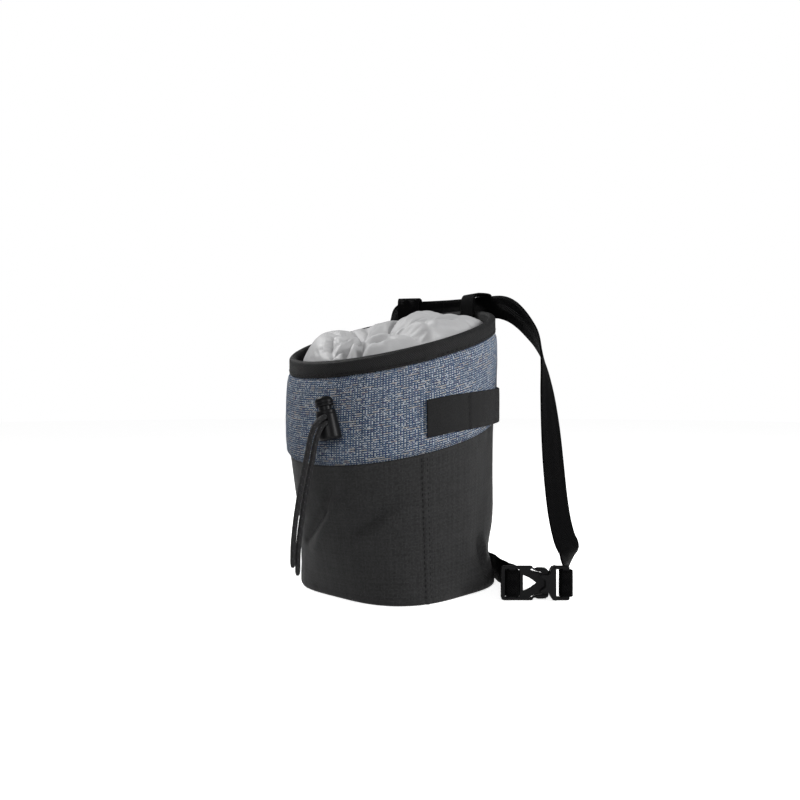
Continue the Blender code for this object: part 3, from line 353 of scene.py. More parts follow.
def colour(name, description, *default):
    """Setting for a colour."""
    return FloatVectorProperty(name=name, description=description, default=default, subtype="COLOR", min=0.0, max=1.0)


def power(name, description, default):
    """Setting for a lamp's power."""
    return FloatProperty(name=name, description=description, default=default, min=0.0, unit="POWER")


class ChalkBagSizes(bpy.types.PropertyGroup):
    """Sizes of the cloth's and webbing's detail."""
    fold_depth: length("Fold Depth", "Depth of the deepest dent in the black cloth", 4.5 * MM)
    crinkle: length("Crinkle", "Height of the small uneven waves in the cloth", 0.35 * MM)
    puff: length("Band Puff", "How far the padded band stands out", 3.0 * MM)
    pucker: length("Pucker", "Height of the puckers along the seams", 0.35 * MM)
    stitch_length: length("Stitch Length", "Length of one stitch", 2.3 * MM, 0.5 * MM)
    stitch_gap: length("Stitch Gap", "Cloth between two stitches", 0.9 * MM)
    thread_width: length("Thread Width", "Thickness of the sewing thread", 0.62 * MM, 0.1 * MM)
    tweed_yarn: length("Tweed Yarn", "Width of one yarn of the band's cloth", 0.63 * MM, 0.2 * MM)
    cloth_yarn: length("Cloth Yarn", "Width of one yarn of the black cloth", 0.85 * MM, 0.2 * MM)
    twill_rib: length("Twill Rib", "Width of one slanting rib of tape and webbing", 1.25 * MM, 0.3 * MM)


class ChalkBagColours(bpy.types.PropertyGroup):
    """Colours of the bag's stuffs."""
    black_cloth: colour("Black Cloth", "Lower body and bottom", 0.0118, 0.0118, 0.0121)
    tweed_navy: colour("Tweed Navy", "Dark yarns of the band", 0.006, 0.014, 0.042)
    tweed_blue: colour("Tweed Blue", "Middle yarns of the band", 0.024, 0.066, 0.150)
    tweed_pale: colour("Tweed Pale", "Pale grey yarns of the band", 0.46, 0.50, 0.53)
    tweed_sand: colour("Tweed Sand", "Warm yarns of the band", 0.40, 0.37, 0.33)
    tweed_violet: colour("Tweed Violet", "A few dark violet yarns of the band", 0.09, 0.06, 0.15)
    tape: colour("Tape", "Binding and brush strip", 0.0085, 0.0085, 0.0088)
    webbing: colour("Webbing", "Belt and belt loops", 0.0009, 0.0009, 0.0010)
    nylon: colour("Nylon", "Drawn collar", 0.362, 0.362, 0.367)
    plastic: colour("Plastic", "Buckle and cord lock", 0.0050, 0.0050, 0.0055)
    cord: colour("Cord", "Drawcord's sheath", 0.0050, 0.0050, 0.0055)
    cord_fleck: colour("Cord Fleck", "Paler yarns in the drawcord's sheath", 0.028, 0.028, 0.030)
    thread: colour("Thread", "Sewing thread", 0.0030, 0.0030, 0.0032)
    floor: colour("Floor", "Floor under the bag", 0.90, 0.90, 0.90)


class ChalkBagStage(bpy.types.PropertyGroup):
    """Camera and lights."""
    camera_turn: FloatProperty(name="Camera Turn", description="Camera's way round the bag from the front",
                               default=math.radians(38.0), subtype="ANGLE")
    camera_distance: length("Camera Distance", "Camera's distance from the bag's middle", 0.515, 0.1)
    camera_height: length("Camera Height", "Camera's height over the floor", 0.1213)
    lens: FloatProperty(name="Lens", description="Focal length in millimetres", default=36.87, min=10.0)
    key: power("Key Light", "Power of the light over the bag, behind it at the left", 4.2)
    side: power("Side Light", "Power of the light at the right", 7.4)
    fill: power("Fill Light", "Power of the light in front", 3.0)
    sky: FloatProperty(name="Surround", description="Strength of the white surround", default=0.24, min=0.0)


def sizes():
    """Sizes that the user may change."""
    return bpy.context.scene.chalk_bag_sizes


def colours():
    """Colours that the user may change."""
    return bpy.context.scene.chalk_bag_colours


# ---------------------------------------------------------------- shape of the bag

def outward(angle):
    """Unit vector from the bag's axis at an angle."""
    turn = math.radians(angle)
    return Vector((math.sin(turn), -math.cos(turn), 0.0))


def cos_deg(angle):
    """Cosine of an angle in degrees."""
    return math.cos(math.radians(angle))


def sin_deg(angle):
    """Sine of an angle in degrees."""
    return math.sin(math.radians(angle))


def hump(distance, width):
    """Smooth hump, 1 at the middle."""
    return math.exp(-(distance / width) ** 2)


def angle_between(one, other):
    """Smallest difference of two angles."""
    return (one - other + 180.0) % 360.0 - 180.0


def mix(low, high, share):
    """Value between two others."""
    return low + (high - low) * share


def ease(share):
    """Smooth step from 0 to 1."""
    share = min(max(share, 0.0), 1.0)
    return share * share * (3.0 - 2.0 * share)


def row_value(rows, place):
    """Value at a place in rows of place and value, straight between two rows."""
    for (low, start), (high, end) in zip(rows, rows[1:]):
        if low <= place <= high:
            return mix(start, end, (place - low) / (high - low))
    return rows[-1][1]


def turns(count):
    """Angles of a ring, evenly spaced."""
    return [360.0 * step / count for step in range(count)]


def base_point(angle):
    """Point of the bottom edge."""
    return outward(angle) * BASE_RADIUS * (1.0 + BASE_SQUARENESS * cos_deg(4 * (angle - CORNER_TURN)))


def seam_point(angle, inset=0.0):
    """Point of the seam between the black cloth and the band."""
    radius = SEAM_RADIUS * (1.0 + SEAM_OVAL * cos_deg(2 * (angle - SEAM_OVAL_TURN)))
    point = outward(angle) * (radius - inset) + TOP_SHIFT
    point.z = SEAM_HEIGHT + SEAM_SLOPE * radius * cos_deg(angle - SEAM_HIGH_TURN)
    return point


def rim_point(angle, inset=0.0):
    """Point of the rim's upper outer edge."""
    radius = RIM_RADIUS * (1.0 + RIM_OVAL * cos_deg(2 * (angle - RIM_OVAL_TURN)))
    point = outward(angle) * (radius - inset) + TOP_SHIFT
    point.z = RIM_HEIGHT + RIM_SLOPE * radius * cos_deg(angle - RIM_HIGH_TURN)
    return point


def crease_share(angle, share, turn_a, share_a, turn_b, share_b, wide):
    """Share of a crease's depth at a point, by its distance from the line between two ends."""
    run = Vector((angle_between(turn_b, turn_a), (share_b - share_a) * CREASE_TALL))
    way = Vector((angle_between(angle, turn_a), (share - share_a) * CREASE_TALL))
    along = min(max(way.dot(run) / run.dot(run), 0.0), 1.0)
    fade = math.sin(math.pi * (0.15 + 0.7 * along))
    return hump((way - run * along).length, wide) * fade


def crinkle(point, size, seed):
    """Uneven small waves of cloth, between about -1 and 1."""
    place = Vector((point.x, point.y, point.z * 0.7)) / size + Vector((seed, 0.0, 0.0))
    return noise.noise(place) + 0.45 * noise.noise(place * 2.1) + 0.2 * noise.noise(place * 4.3)


def side_seams(angle):
    """Degrees from the nearer side seam."""
    return min((angle_between(angle, SIDE_SEAM), angle_between(angle, SIDE_SEAM + 180.0)), key=abs)


def lower_point(angle, share):
    """Outer point of the black cloth, from the bottom (0) to the seam (1)."""
    head = seam_point(angle, SEAM_STEP)
    point = mix(base_point(angle), head, share)
    corner = BASE_SQUARENESS * BASE_RADIUS * cos_deg(4 * (angle - CORNER_TURN))
    depth = 0.0
    for _, turn, middle, wide, tall, part in DENTS:
        depth += part * hump(angle_between(angle, turn), wide) * hump(share - middle, tall)
    for _, *line, part in CREASES + FINE_CREASES:
        depth += part * crease_share(angle, share, *line)
    hold = math.sin(math.pi * min(max(share, 0.0), 1.0)) ** 0.5
    out = corner * ((1.0 - share) ** 2 - (1.0 - share)) - depth * sizes().fold_depth * hold
    out += sizes().crinkle * crinkle(point, BODY_WAVE, 3.0) * hold
    # puckers along the bottom seam and along the band
    arc = math.radians(angle) * BASE_RADIUS
    gather = noise.noise(Vector((arc / (4 * MM), 0.5, 7.0))) + 0.6 * math.sin(arc / (1.7 * MM))
    out += sizes().pucker * 0.5 * gather * (hump(share - 0.045, 0.035) + hump(share - 0.97, 0.03))
    # side seam: a flat ridge between its two rows of stitches
    off = math.radians(side_seams(angle)) * SEAM_RADIUS / MM
    out += 0.45 * MM * (hump(off, 1.5) - 0.9 * hump(abs(off) - 2.0, 0.6))
    # the lower edge rolls in to the bottom
    low = point.z
    if low < BOTTOM_ROLL:
        out -= BOTTOM_ROLL * (1.0 - math.sqrt(max(1.0 - (1.0 - low / BOTTOM_ROLL) ** 2, 0.0))) * 0.8
    return point + outward(angle) * out


def band_puff(share):
    """Share of the band's puff at a share of its height, smooth between the rows."""
    for (low, start), (high, end) in zip(PUFF_ROWS, PUFF_ROWS[1:]):
        if low <= share <= high:
            part = (share - low) / (high - low)
            return mix(start, end, math.sin(part * math.pi / 2) if end > start else part ** 1.6)
    return 0.0


def band_edges(angle):
    """Upper and lower end of the band's outer side."""
    head = rim_point(angle, BINDING_TAPE + GAP)
    head.z -= BINDING_WIDTH + GAP
    foot = seam_point(angle)
    foot.z += GAP / 2
    return head, foot


def band_point(angle, share, puff):
    """Point of the band as the frame has it, with a share of its puff."""
    head, foot = band_edges(angle)
    for _, turn, middle, wide, tall, part in BAND_DENTS:
        puff -= part * hump(angle_between(angle, turn), wide) * hump(share - middle, tall)
    return mix(head, foot, share) + outward(angle) * BAND_PUFF * max(puff, 0.0)


def band_surface(angle, share):
    """Outer point of the padded band with its waves, puckers and side seams."""
    point = band_point(angle, share, band_puff(share) * sizes().puff / BAND_PUFF)
    hold = math.sin(math.pi * min(max(share, 0.0), 1.0)) ** 0.6
    out = sizes().crinkle * 1.1 * crinkle(point, BAND_WAVE, 11.0) * hold
    arc = math.radians(angle) * SEAM_RADIUS
    gather = noise.noise(Vector((arc / (5 * MM), 0.0, 2.0))) + 0.5 * math.sin(arc / (1.9 * MM))
    out += sizes().pucker * gather * (hump(share - 0.06, 0.05) + 0.8 * hump(share - 0.95, 0.045))
    off = math.radians(side_seams(angle)) * SEAM_RADIUS / MM
    out += (0.35 * hump(abs(off) - 2.2, 1.6) - 1.1 * hump(off, 0.55)) * MM * (0.4 + 0.6 * hold)
    return point + outward(angle) * out


def wall_radius(angle, height):
    """Outer distance of the wall from the bag's axis at a height, for what lies on it."""
    rim = rim_point(angle)
    seam = seam_point(angle)
    if height >= seam.z:
        share = min((height - seam.z) / (rim.z - seam.z), 1.0)
        return mix(seam, rim, share).xy.length
    return mix(base_point(angle), seam, max(height, 0.0) / seam.z).xy.length


def lowered(point, drop):
    """The point, that far down."""
    point.z -= drop
    return point


def binding_depth():
    """Width of the folded binding over the rim, outside to inside."""
    return 2 * BINDING_TAPE + 2 * GAP + PANEL_WALL


def curve_point(before, start, end, after, share):
    """Point between start and end on the smooth curve that also goes through their neighbours."""
    return 0.5 * ((2 * start) + (end - before) * share
                  + (2 * before - 5 * start + 4 * end - after) * share ** 2
                  + (3 * start - before - 3 * end + after) * share ** 3)


def smooth_between(points, step):
    """Points on a smooth curve through the given ones, so many between each two."""
    line = []
    count = len(points)
    for index in range(count - 1):
        around = (points[max(index - 1, 0)], points[index], points[index + 1], points[min(index + 2, count - 1)])
        line += [curve_point(*around, part / step) for part in range(step)]
    line.append(points[-1].copy())
    return line


# ---------------------------------------------------------------- meshes

def skin(name, grid, threads, closed):
    """Mesh through a grid of points from the bottom up, with its thread map in millimetres."""
    columns = len(grid[0])
    last = columns if closed else columns - 1
    faces = []
    places = []
    for row in range(len(grid) - 1):
        for column in range(last):
            beside = (column + 1) % columns
            low = row * columns
            high = low + columns
            faces.append((low + column, low + beside, high + beside, high + column))
            places += [threads(row, column), threads(row, column + 1),
                       threads(row + 1, column + 1), threads(row + 1, column)]
    mesh = bpy.data.meshes.new(name)
    mesh.from_pydata([tuple(point) for row in grid for point in row], [], faces)
    layer = mesh.uv_layers.new(name="threads")
    layer.uv.foreach_set("vector", [value for place in places for value in place])
    mesh.update()
    mesh.shade_smooth()
    return mesh


def reworked(mesh, change=None, *details):
    """Let change work on a mesh, turn its faces outwards and shade it smooth."""
    work = bmesh.new()
    work.from_mesh(mesh)
    work.verts.ensure_lookup_table()
    if change:
        change(work, *details)
    bmesh.ops.recalc_face_normals(work, faces=work.faces)
    work.to_mesh(mesh)
    work.free()
    mesh.shade_smooth()
    return mesh


def close_ends(work, ring, rings):
    """One face over the first and one over the last ring of corners."""
    for first in (0, (rings - 1) * ring):
        work.faces.new([work.verts[first + corner] for corner in range(ring)])


def point_ends(work, ring, rings):
    """Fan of faces over the first and over the last ring of corners."""
    ends = [[work.verts[first + corner] for corner in range(ring)] for first in (0, (rings - 1) * ring)]
    for end in ends:
        hub = work.verts.new(sum((corner.co for corner in end), Vector()) / ring)
        for corner in range(ring):
            work.faces.new((end[corner], end[(corner + 1) % ring], hub))


def weld(work, distance):
    """Make one corner of those that lie together."""
    bmesh.ops.remove_doubles(work, verts=work.verts, dist=distance)


def fill_middle(work, radius):
    """Fill the hole whose edge lies within a radius."""
    edges = [edge for edge in work.edges
             if edge.is_boundary and max(vert.co.xy.length for vert in edge.verts) < radius]
    bmesh.ops.holes_fill(work, edges=edges, sides=0)


def solid_from(thing, name):
    """New mesh of an object as its modifiers leave it."""
    mesh = bpy.data.meshes.new_from_object(thing.evaluated_get(bpy.context.evaluated_depsgraph_get()))
    mesh.name = name
    return mesh


def add_piece(name, mesh, kind, *nodes, body="bag"):
    """Link a piece in its stuff, on its body, in place of its nodes."""
    thing = bpy.data.objects.new(name, mesh)
    bpy.context.scene.collection.objects.link(thing)
    mesh.materials.append(stuff(kind))
    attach(thing, body)
    if nodes:
        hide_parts(*nodes)
    return thing


def thicken(thing, thickness, offset=-1.0):
    """Give a skin its thickness."""
    wall = thing.modifiers.new("wall", "SOLIDIFY")
    wall.thickness = thickness
    wall.offset = offset


def ahead_at(points, index):
    """Unit vector along a line at one of its points."""
    return (points[min(index + 1, len(points) - 1)] - points[max(index - 1, 0)]).normalized()


def frames_along(points, start=Vector((1.0, 0.0, 0.0))):
    """Two unit vectors across a line at each of its points, turned as little as may be."""
    across = []
    side = start
    for index in range(len(points)):
        ahead = ahead_at(points, index)
        side = (side - ahead * side.dot(ahead)).normalized()
        across.append((side, ahead.cross(side)))
    return across


def run_lengths(points):
    """Length of the line up to each point."""
    lengths = [0.0]
    for before, after in zip(points, points[1:]):
        lengths.append(lengths[-1] + (after - before).length)
    return lengths


def place_on(lengths, want, index=0):
    """Piece of a line that a length falls in, looked for from index on, and the share along that piece."""
    while index < len(lengths) - 2 and lengths[index + 1] < want:
        index += 1
    return index, (want - lengths[index]) / max(lengths[index + 1] - lengths[index], 1e-9)


def stitch_row(name, points, faces_out):
    """Row of single stitches along a line of points, whose outward directions are given."""
    lengths = run_lengths(points)
    step = sizes().stitch_length + sizes().stitch_gap
    count = max(int(lengths[-1] / step), 1)
    step = lengths[-1] / count
    thick = sizes().thread_width / 2
    corners = []
    faces = []
    index = 0
    for number in range(count):
        start = number * step + sizes().stitch_gap / 2
        end = (number + 1) * step - sizes().stitch_gap / 2
        first = len(corners)
        for share, fat in STITCH_ROWS:
            index, part = place_on(lengths, mix(start, end, share), index)
            middle = mix(points[index], points[index + 1], part)
            out = mix(faces_out[index], faces_out[index + 1], part).normalized()
            ahead = (points[index + 1] - points[index]).normalized()
            side = ahead.cross(out).normalized()
            sink = thick * (0.9 * math.sin(math.pi * share) - 0.75)
            for spoke in range(STITCH_SIDES):
                turn = math.tau * spoke / STITCH_SIDES
                corners.append(middle + out * (sink + thick * fat * math.sin(turn))
                               + side * thick * 1.25 * fat * math.cos(turn))
        for ring in range(len(STITCH_ROWS) - 1):
            for spoke in range(STITCH_SIDES):
                beside = (spoke + 1) % STITCH_SIDES
                low = first + ring * STITCH_SIDES
                high = low + STITCH_SIDES
                faces.append((low + spoke, low + beside, high + beside, high + spoke))
    mesh = bpy.data.meshes.new(name)
    mesh.from_pydata([tuple(corner) for corner in corners], [], faces)
    return add_piece(name, reworked(mesh), "thread")


def ribbon_profile(width, thickness):
    """Section of a ribbon with soft selvedges: across and over, anticlockwise."""
    half = width / 2
    lift = thickness / 2
    return ([(half * share, -lift * height) for share, height in RIBBON_ROWS]
            + [(half * share, lift * height) for share, height in reversed(RIBBON_ROWS)])


def ribbon(name, middles, edges, width, thickness, floor=True):
    """Webbing along a line, whose upper-edge directions are given."""
    section = ribbon_profile(width, thickness)
    lengths = run_lengths(middles)
    grid = []
    for index, middle in enumerate(middles):
        along = ahead_at(middles, index)
        edge = (edges[index] - along * edges[index].dot(along)).normalized()
        face = along.cross(edge)
        low = abs(edge.z) * width / 2 + abs(face.z) * thickness / 2 + GAP / 2
        lift = Vector((0.0, 0.0, max(low - middle.z, 0.0) if floor else 0.0))
        grid.append([middle + lift + edge * across - face * over for across, over in section])
    places = run_lengths([Vector(spot) for spot in section + section[:1]])
    mesh = skin(name, grid, lambda row, column: (places[column] / MM, lengths[row] / MM), True)
    return reworked(mesh, close_ends, len(section), len(grid))


def rounded_plate(name, outlines, thickness, edge):
    """Flat plate with holes and rounded edges, in its own XY plane; the first outline is the outer one."""
    curve = bpy.data.curves.new(name, "CURVE")
    curve.dimensions = "2D"
    curve.fill_mode = "BOTH"
    curve.extrude = thickness / 2 - edge
    curve.bevel_depth = edge
    curve.bevel_resolution = 3
    curve.offset = -edge
    for outline in outlines:
        spline = curve.splines.new("POLY")
        spline.points.add(len(outline) - 1)
        spline.use_cyclic_u = True
        for slot, (x, y) in zip(spline.points, outline):
            slot.co = (x, y, 0.0, 1.0)
    guide = bpy.data.objects.new(name, curve)
    bpy.context.scene.collection.objects.link(guide)
    mesh = solid_from(guide, name)
    bpy.data.objects.remove(guide, do_unlink=True)
    bpy.data.curves.remove(curve)
    return mesh


def rounded_outline(points, step=4):
    """Closed smooth outline through points; a point given twice stays a corner."""
    count = len(points)
    places = [Vector(point) for point in points]
    line = []
    for index in range(count):
        before, start = places[index - 1], places[index]
        end, after = places[(index + 1) % count], places[(index + 2) % count]
        if (end - start).length < 1e-7:
            continue
        if (start - before).length < 1e-7:
            before = start * 2 - end
        if (after - end).length < 1e-7:
            after = end * 2 - start
        line += [curve_point(before, start, end, after, part / step) for part in range(step)]
    return [(point.x, point.y) for point in line]


def mirrored(half):
    """Closed outline from its upper half, left to right."""
    return list(half) + [(along, -up) for along, up in reversed(half) if up > 0]


def upright(mesh):
    """Turn a plate's own +Y to +Z and put it in its place on the buckle."""
    mesh.transform(buckle_place() @ Matrix.Rotation(math.radians(90.0), 4, "X"))
    return mesh


def joined(name, meshes):
    """One mesh from several, smooth over its round edges."""
    work = bmesh.new()
    for mesh in meshes:
        work.from_mesh(mesh)
    bmesh.ops.remove_doubles(work, verts=work.verts, dist=0.001 * MM)
    bmesh.ops.recalc_face_normals(work, faces=work.faces)
    whole = bpy.data.meshes.new(name)
    work.to_mesh(whole)
    work.free()
    whole.shade_smooth()
    whole.set_sharp_from_angle(angle=math.radians(38.0))
    return whole


# ---------------------------------------------------------------- finishes

class Wire:
    """An output socket of a finish that sums and products can be written with."""

    def __init__(self, finish, socket):
        self.finish = finish
        self.socket = socket

    def maths(self, operation, *others):
        """New Math node on this wire and others."""
        return self.finish.node("ShaderNodeMath", {"operation": operation},
                                {number: value for number, value in enumerate((self, *others))})

    def __add__(self, other):
        return self.maths("ADD", other)

    __radd__ = __add__

    def __mul__(self, other):
        return self.maths("MULTIPLY", other)

    __rmul__ = __mul__

    def __sub__(self, other):
        return self.maths("SUBTRACT", other)

    def __rsub__(self, other):
        return self.finish.node("ShaderNodeMath", {"operation": "SUBTRACT"}, {0: other, 1: self})

    def __truediv__(self, other):
        return self.maths("DIVIDE", other)

    def __mod__(self, other):
        return self.maths("FLOORED_MODULO", other)

    def __abs__(self):
        return self.maths("ABSOLUTE")

    def __pow__(self, other):
        return self.maths("POWER", other)

    def __gt__(self, other):
        return self.maths("GREATER_THAN", other)

    def __lt__(self, other):
        return self.maths("LESS_THAN", other)


class Finish:
    """One stuff: a material whose nodes are added in code."""

    def __init__(self, name):
        self.material = bpy.data.materials.new(name)
        self.material.use_nodes = True
        self.tree = self.material.node_tree
        self.shader = self.tree.nodes["Principled BSDF"]

    def node(self, kind, settings=None, sockets=None, output=0):
        """Add a node with its settings, then its sockets' values or links, and give its output."""
        made = self.tree.nodes.new(kind)
        for name, value in (settings or {}).items():
            setattr(made, name, value)
        for name, value in (sockets or {}).items():
            if isinstance(value, Wire):
                self.tree.links.new(value.socket, made.inputs[name])
            else:
                made.inputs[name].default_value = value
        return Wire(self, made.outputs[output])

    def set(self, **values):
        """Set or link the shader's own sockets, spaces written as underscores."""
        for name, value in values.items():
            socket = self.shader.inputs[name.replace("_", " ")]
            if isinstance(value, Wire):
                self.tree.links.new(value.socket, socket)
            else:
                socket.default_value = value

    def threads(self):
        """The two thread coordinates in millimetres."""
        place = self.node("ShaderNodeUVMap", {"uv_map": "threads"})
        both = {"Vector": place}
        return (self.node("ShaderNodeSeparateXYZ", None, both, 0),
                self.node("ShaderNodeSeparateXYZ", None, both, 1))

    def place(self):
        """Place on the object, in metres."""
        return self.node("ShaderNodeTexCoord", output="Object")

    def cells(self, across, along):
        """Chance number for each whole cell of two wires."""
        spot = self.node("ShaderNodeCombineXYZ", None, {0: across.maths("FLOOR"), 1: along.maths("FLOOR")})
        return self.node("ShaderNodeTexWhiteNoise", {"noise_dimensions": "2D"}, {"Vector": spot}, "Value")

    def cloud(self, scale, detail, stretch=(1.0, 1.0, 1.0)):
        """Soft noise from 0 to 1."""
        spot = self.node("ShaderNodeMapping", None, {"Vector": self.place(), "Scale": stretch})
        return self.node("ShaderNodeTexNoise", None, {"Vector": spot, "Scale": scale, "Detail": detail}, "Fac")

    def blend(self, factor, one, other, mode="MIX"):
        """Mix of two colours."""
        return self.node("ShaderNodeMix", {"data_type": "RGBA", "blend_type": mode},
                         {0: factor, 6: colour_value(one), 7: colour_value(other)}, 2)

    def shade(self, colour, factor):
        """Colour made lighter or darker by a wire."""
        grey = self.node("ShaderNodeCombineColor", None, {0: factor, 1: factor, 2: factor})
        return self.blend(1.0, colour, grey, "MULTIPLY")

    def made_of(self, colour, tone, normal, **values):
        """The material: its colour made lighter or darker by tone (random tone, and in the woven finishes and the
        cord also painted shade that follows their relief), its bump and its other values.
        """
        self.set(Base_Color=self.shade(colour, tone), Normal=normal, **values)
        return self.material

    def relief(self, height, distance, strength, normal=None):
        """Bump from a height wire."""
        sockets = {"Height": height, "Distance": distance, "Strength": strength}
        if normal:
            sockets["Normal"] = normal
        return self.node("ShaderNodeBump", None, sockets, "Normal")


def colour_value(value):
    """Colour for a socket: a wire as it is, or three numbers with full alpha."""
    return value if isinstance(value, Wire) else (*value[:3], 1.0)


def over_under(across, along, yarn):
    """Plain weave: height of its yarns, 1 where the along yarn lies on top, and the count of yarns each way."""
    u = across / (yarn / MM)
    v = along / (yarn / MM)
    top = (u.maths("FLOOR") + v.maths("FLOOR")) % 2.0
    round_u = abs((u * math.pi).maths("SINE"))
    round_v = abs((v * math.pi).maths("SINE"))
    height = round_u * (0.35 + 0.65 * round_v) * top + round_v * (0.35 + 0.65 * round_u) * (1.0 - top)
    return height, top, u, v


def herringbone(across, along, rib, stripe):
    """Height of the ribs of a twill whose ribs change direction from stripe to stripe."""
    u = across / (stripe / MM)
    turned = abs((u % 2.0) - 1.0) * (stripe / MM)
    slant = (along + turned) / (rib / MM)
    height = abs((slant * math.pi).maths("SINE"))
    return height ** 0.7


def cloth_finish():
    """Black plain-woven cloth."""
    f = Finish("black_cloth")
    across, along = f.threads()
    height, _, u, v = over_under(across, along, sizes().cloth_yarn)
    cell = f.cells(u, v)
    row = f.cells(u * 0.0, v) + f.cells(u, v * 0.0)
    wear = f.cloud(60.0, 4.0)
    # the 0.75 * height term is painted shade: darker in the dips between the yarns, lighter on their crests; cell,
    # row and wear are random tone
    tone = 0.05 + 0.75 * height + 1.00 * cell + 0.30 * row + 0.45 * (wear - 0.5)
    soft = f.relief(wear, 0.35 * MM, 0.5)
    return f.made_of(colours().black_cloth, tone, f.relief(height, 0.16 * MM, 0.75, soft),
                     Roughness=0.56 + 0.16 * wear + 0.10 * cell, Specular_IOR_Level=0.16)


def tweed_finish():
    """Blue tweed: rows of pale and of blue weft in a navy warp, with a few sand and violet yarns."""
    f = Finish("blue_tweed")
    across, along = f.threads()
    drift = f.cloud(35.0, 2.0)
    across = across + 0.30 * (drift - 0.5)
    along = along + 0.35 * (f.cloud(28.0, 2.0) - 0.5)
    height, top, u, v = over_under(across / 1.28, along, sizes().tweed_yarn)
    pale_row = v.maths("FLOOR") % 2.0
    column = f.cells(u, v * 0.0)
    row = f.cells(u * 0.0, v + 40.0)
    cell = f.cells(u + 17.0, v + 5.0)
    slub = f.cells(u / 9.0 + 3.0 * row, v + 80.0)
    warm = f.cells(u / 4.0 + 70.0, v + 9.0)
    weft = f.blend(pale_row * (0.55 + 0.45 * slub) + 0.25 * cell, colours().tweed_blue, colours().tweed_pale)
    warp = f.blend(0.2 + 0.8 * column, colours().tweed_blue, colours().tweed_navy)
    yarn = f.blend(top * (0.65 + 0.35 * cell), weft, warp)
    yarn = f.blend((warm > 0.84) * pale_row * 0.8, yarn, colours().tweed_sand)
    yarn = f.blend((cell > 0.92) * 0.6, yarn, colours().tweed_pale)
    yarn = f.blend((cell < 0.08) * 0.5, yarn, colours().tweed_violet)
    # the 0.75 * height term is painted shade, darker in the dips between the yarns and lighter on their crests; cell
    # and drift are random tone
    tone = 0.42 + 0.75 * height + 0.28 * (cell - 0.5) + 0.16 * (drift - 0.5)
    fuzz = f.cloud(900.0, 2.0)
    return f.made_of(yarn, tone, f.relief(height + 0.25 * fuzz, 0.22 * MM, 0.8),
                     Roughness=0.82 + 0.10 * cell, Specular_IOR_Level=0.10)


def twill_finish(name, colour, rib, stripe, roughness, depth, specular):
    """Black herringbone tape or webbing."""
    f = Finish(name)
    across, along = f.threads()
    height = herringbone(across, along, rib, stripe)
    yarn = f.cells(across / 0.42, along / 0.85)
    wear = f.cloud(70.0, 3.0)
    # the 2.3 * height ** 3 term is painted highlight on the rib crests and painted shade in the grooves between them;
    # yarn and wear are random tone
    tone = 0.02 + 2.3 * height ** 3.0 + 0.7 * (yarn - 0.5) + 0.35 * (wear - 0.5)
    return f.made_of(colour, tone, f.relief(height + 0.3 * yarn, depth, 0.9),
                     Roughness=roughness + 0.14 * yarn - 0.08 * height, Specular_IOR_Level=specular)


def nylon_finish():
    """Light grey thin nylon with a soft shine."""
    f = Finish("grey_nylon")
    across, along = f.threads()
    height, _, u, v = over_under(across, along, 0.32 * MM)
    wear = f.cloud(45.0, 4.0)
    cell = f.cells(u, v)
    # the 0.07 * height term is a faint painted shade in the dips between the yarns; cell and wear are random tone
    tone = 0.90 + 0.07 * height + 0.05 * (cell - 0.5) + 0.12 * (wear - 0.5)
    crumple = f.cloud(140.0, 4.0, (1.0, 1.0, 0.6))
    soft = f.relief(crumple, 0.55 * MM, 0.55)
    return f.made_of(colours().nylon, tone, f.relief(height, 0.05 * MM, 0.5, soft), Roughness=0.44 + 0.12 * wear,
                     Sheen_Weight=0.03, Sheen_Roughness=0.35, Specular_IOR_Level=0.35)


def plastic_finish():
    """Black moulded plastic, satin with a fine grain."""
    f = Finish("black_plastic")
    grain = f.cloud(1400.0, 2.0)
    handling = f.cloud(90.0, 4.0)
    return f.made_of(colours().plastic, 0.85 + 0.30 * handling, f.relief(grain, 0.04 * MM, 0.35),
                     Roughness=0.24 + 0.16 * handling + 0.05 * grain, Specular_IOR_Level=0.07)


def cord_finish():
    """Braided sheath with paler flecks."""
    f = Finish("black_cord")
    across, along = f.threads()
    one = (across + along) / 1.15
    two = (across - along) / 1.15
    ribs = abs((one * math.pi).maths("SINE")) * abs((two * math.pi).maths("SINE"))
    strand = (one.maths("FLOOR") + two.maths("FLOOR")) % 2.0
    fleck = (one.maths("FLOOR") % 4.0 < 0.5) * strand
    colour = f.blend(fleck * 0.8, colours().cord, colours().cord_fleck)
    # 0.5 + 0.8 * ribs is painted shade: darker in the grooves of the braid, lighter on its crests; the flecks are the
    # yarns' own colour
    return f.made_of(colour, 0.5 + 0.8 * ribs, f.relief(ribs, 0.30 * MM, 0.9), Roughness=0.62,
                     Specular_IOR_Level=0.2)


def thread_finish():
    """Twisted black sewing thread."""
    f = Finish("black_thread")
    twist = f.cloud(2200.0, 1.0, (1.0, 1.0, 3.0))
    return f.made_of(colours().thread, 0.6 + 0.8 * twist, f.relief(twist, 0.08 * MM, 0.8),
                     Roughness=0.45 + 0.2 * twist, Specular_IOR_Level=0.12)


def stuff(kind):
    """The material of that kind, made on first use."""
    made = bpy.data.materials.get("dressed_" + kind)
    if made is None:
        made = STUFFS[kind]()
        made.name = "dressed_" + kind
    return made


# the frame's material slot of each kind of stuff; the thread has none
STUFFS = {
    "cloth": cloth_finish,
    "tweed": tweed_finish,
    "tape": lambda: twill_finish("black_tape", colours().tape, sizes().twill_rib, 3.0 * MM, 0.60, 0.34 * MM, 0.12),
    "strip": lambda: twill_finish("strip_tape", colours().tape, 0.8 * MM, 60.0 * MM, 0.66, 0.10 * MM, 0.09),
    "webbing": lambda: twill_finish("black_webbing", colours().webbing, sizes().twill_rib * 1.1, 3.6 * MM, 0.52,
                                    0.32 * MM, 0.022),
    "nylon": nylon_finish,
    "plastic": plastic_finish,
    "cord": cord_finish,
    "thread": thread_finish,
}


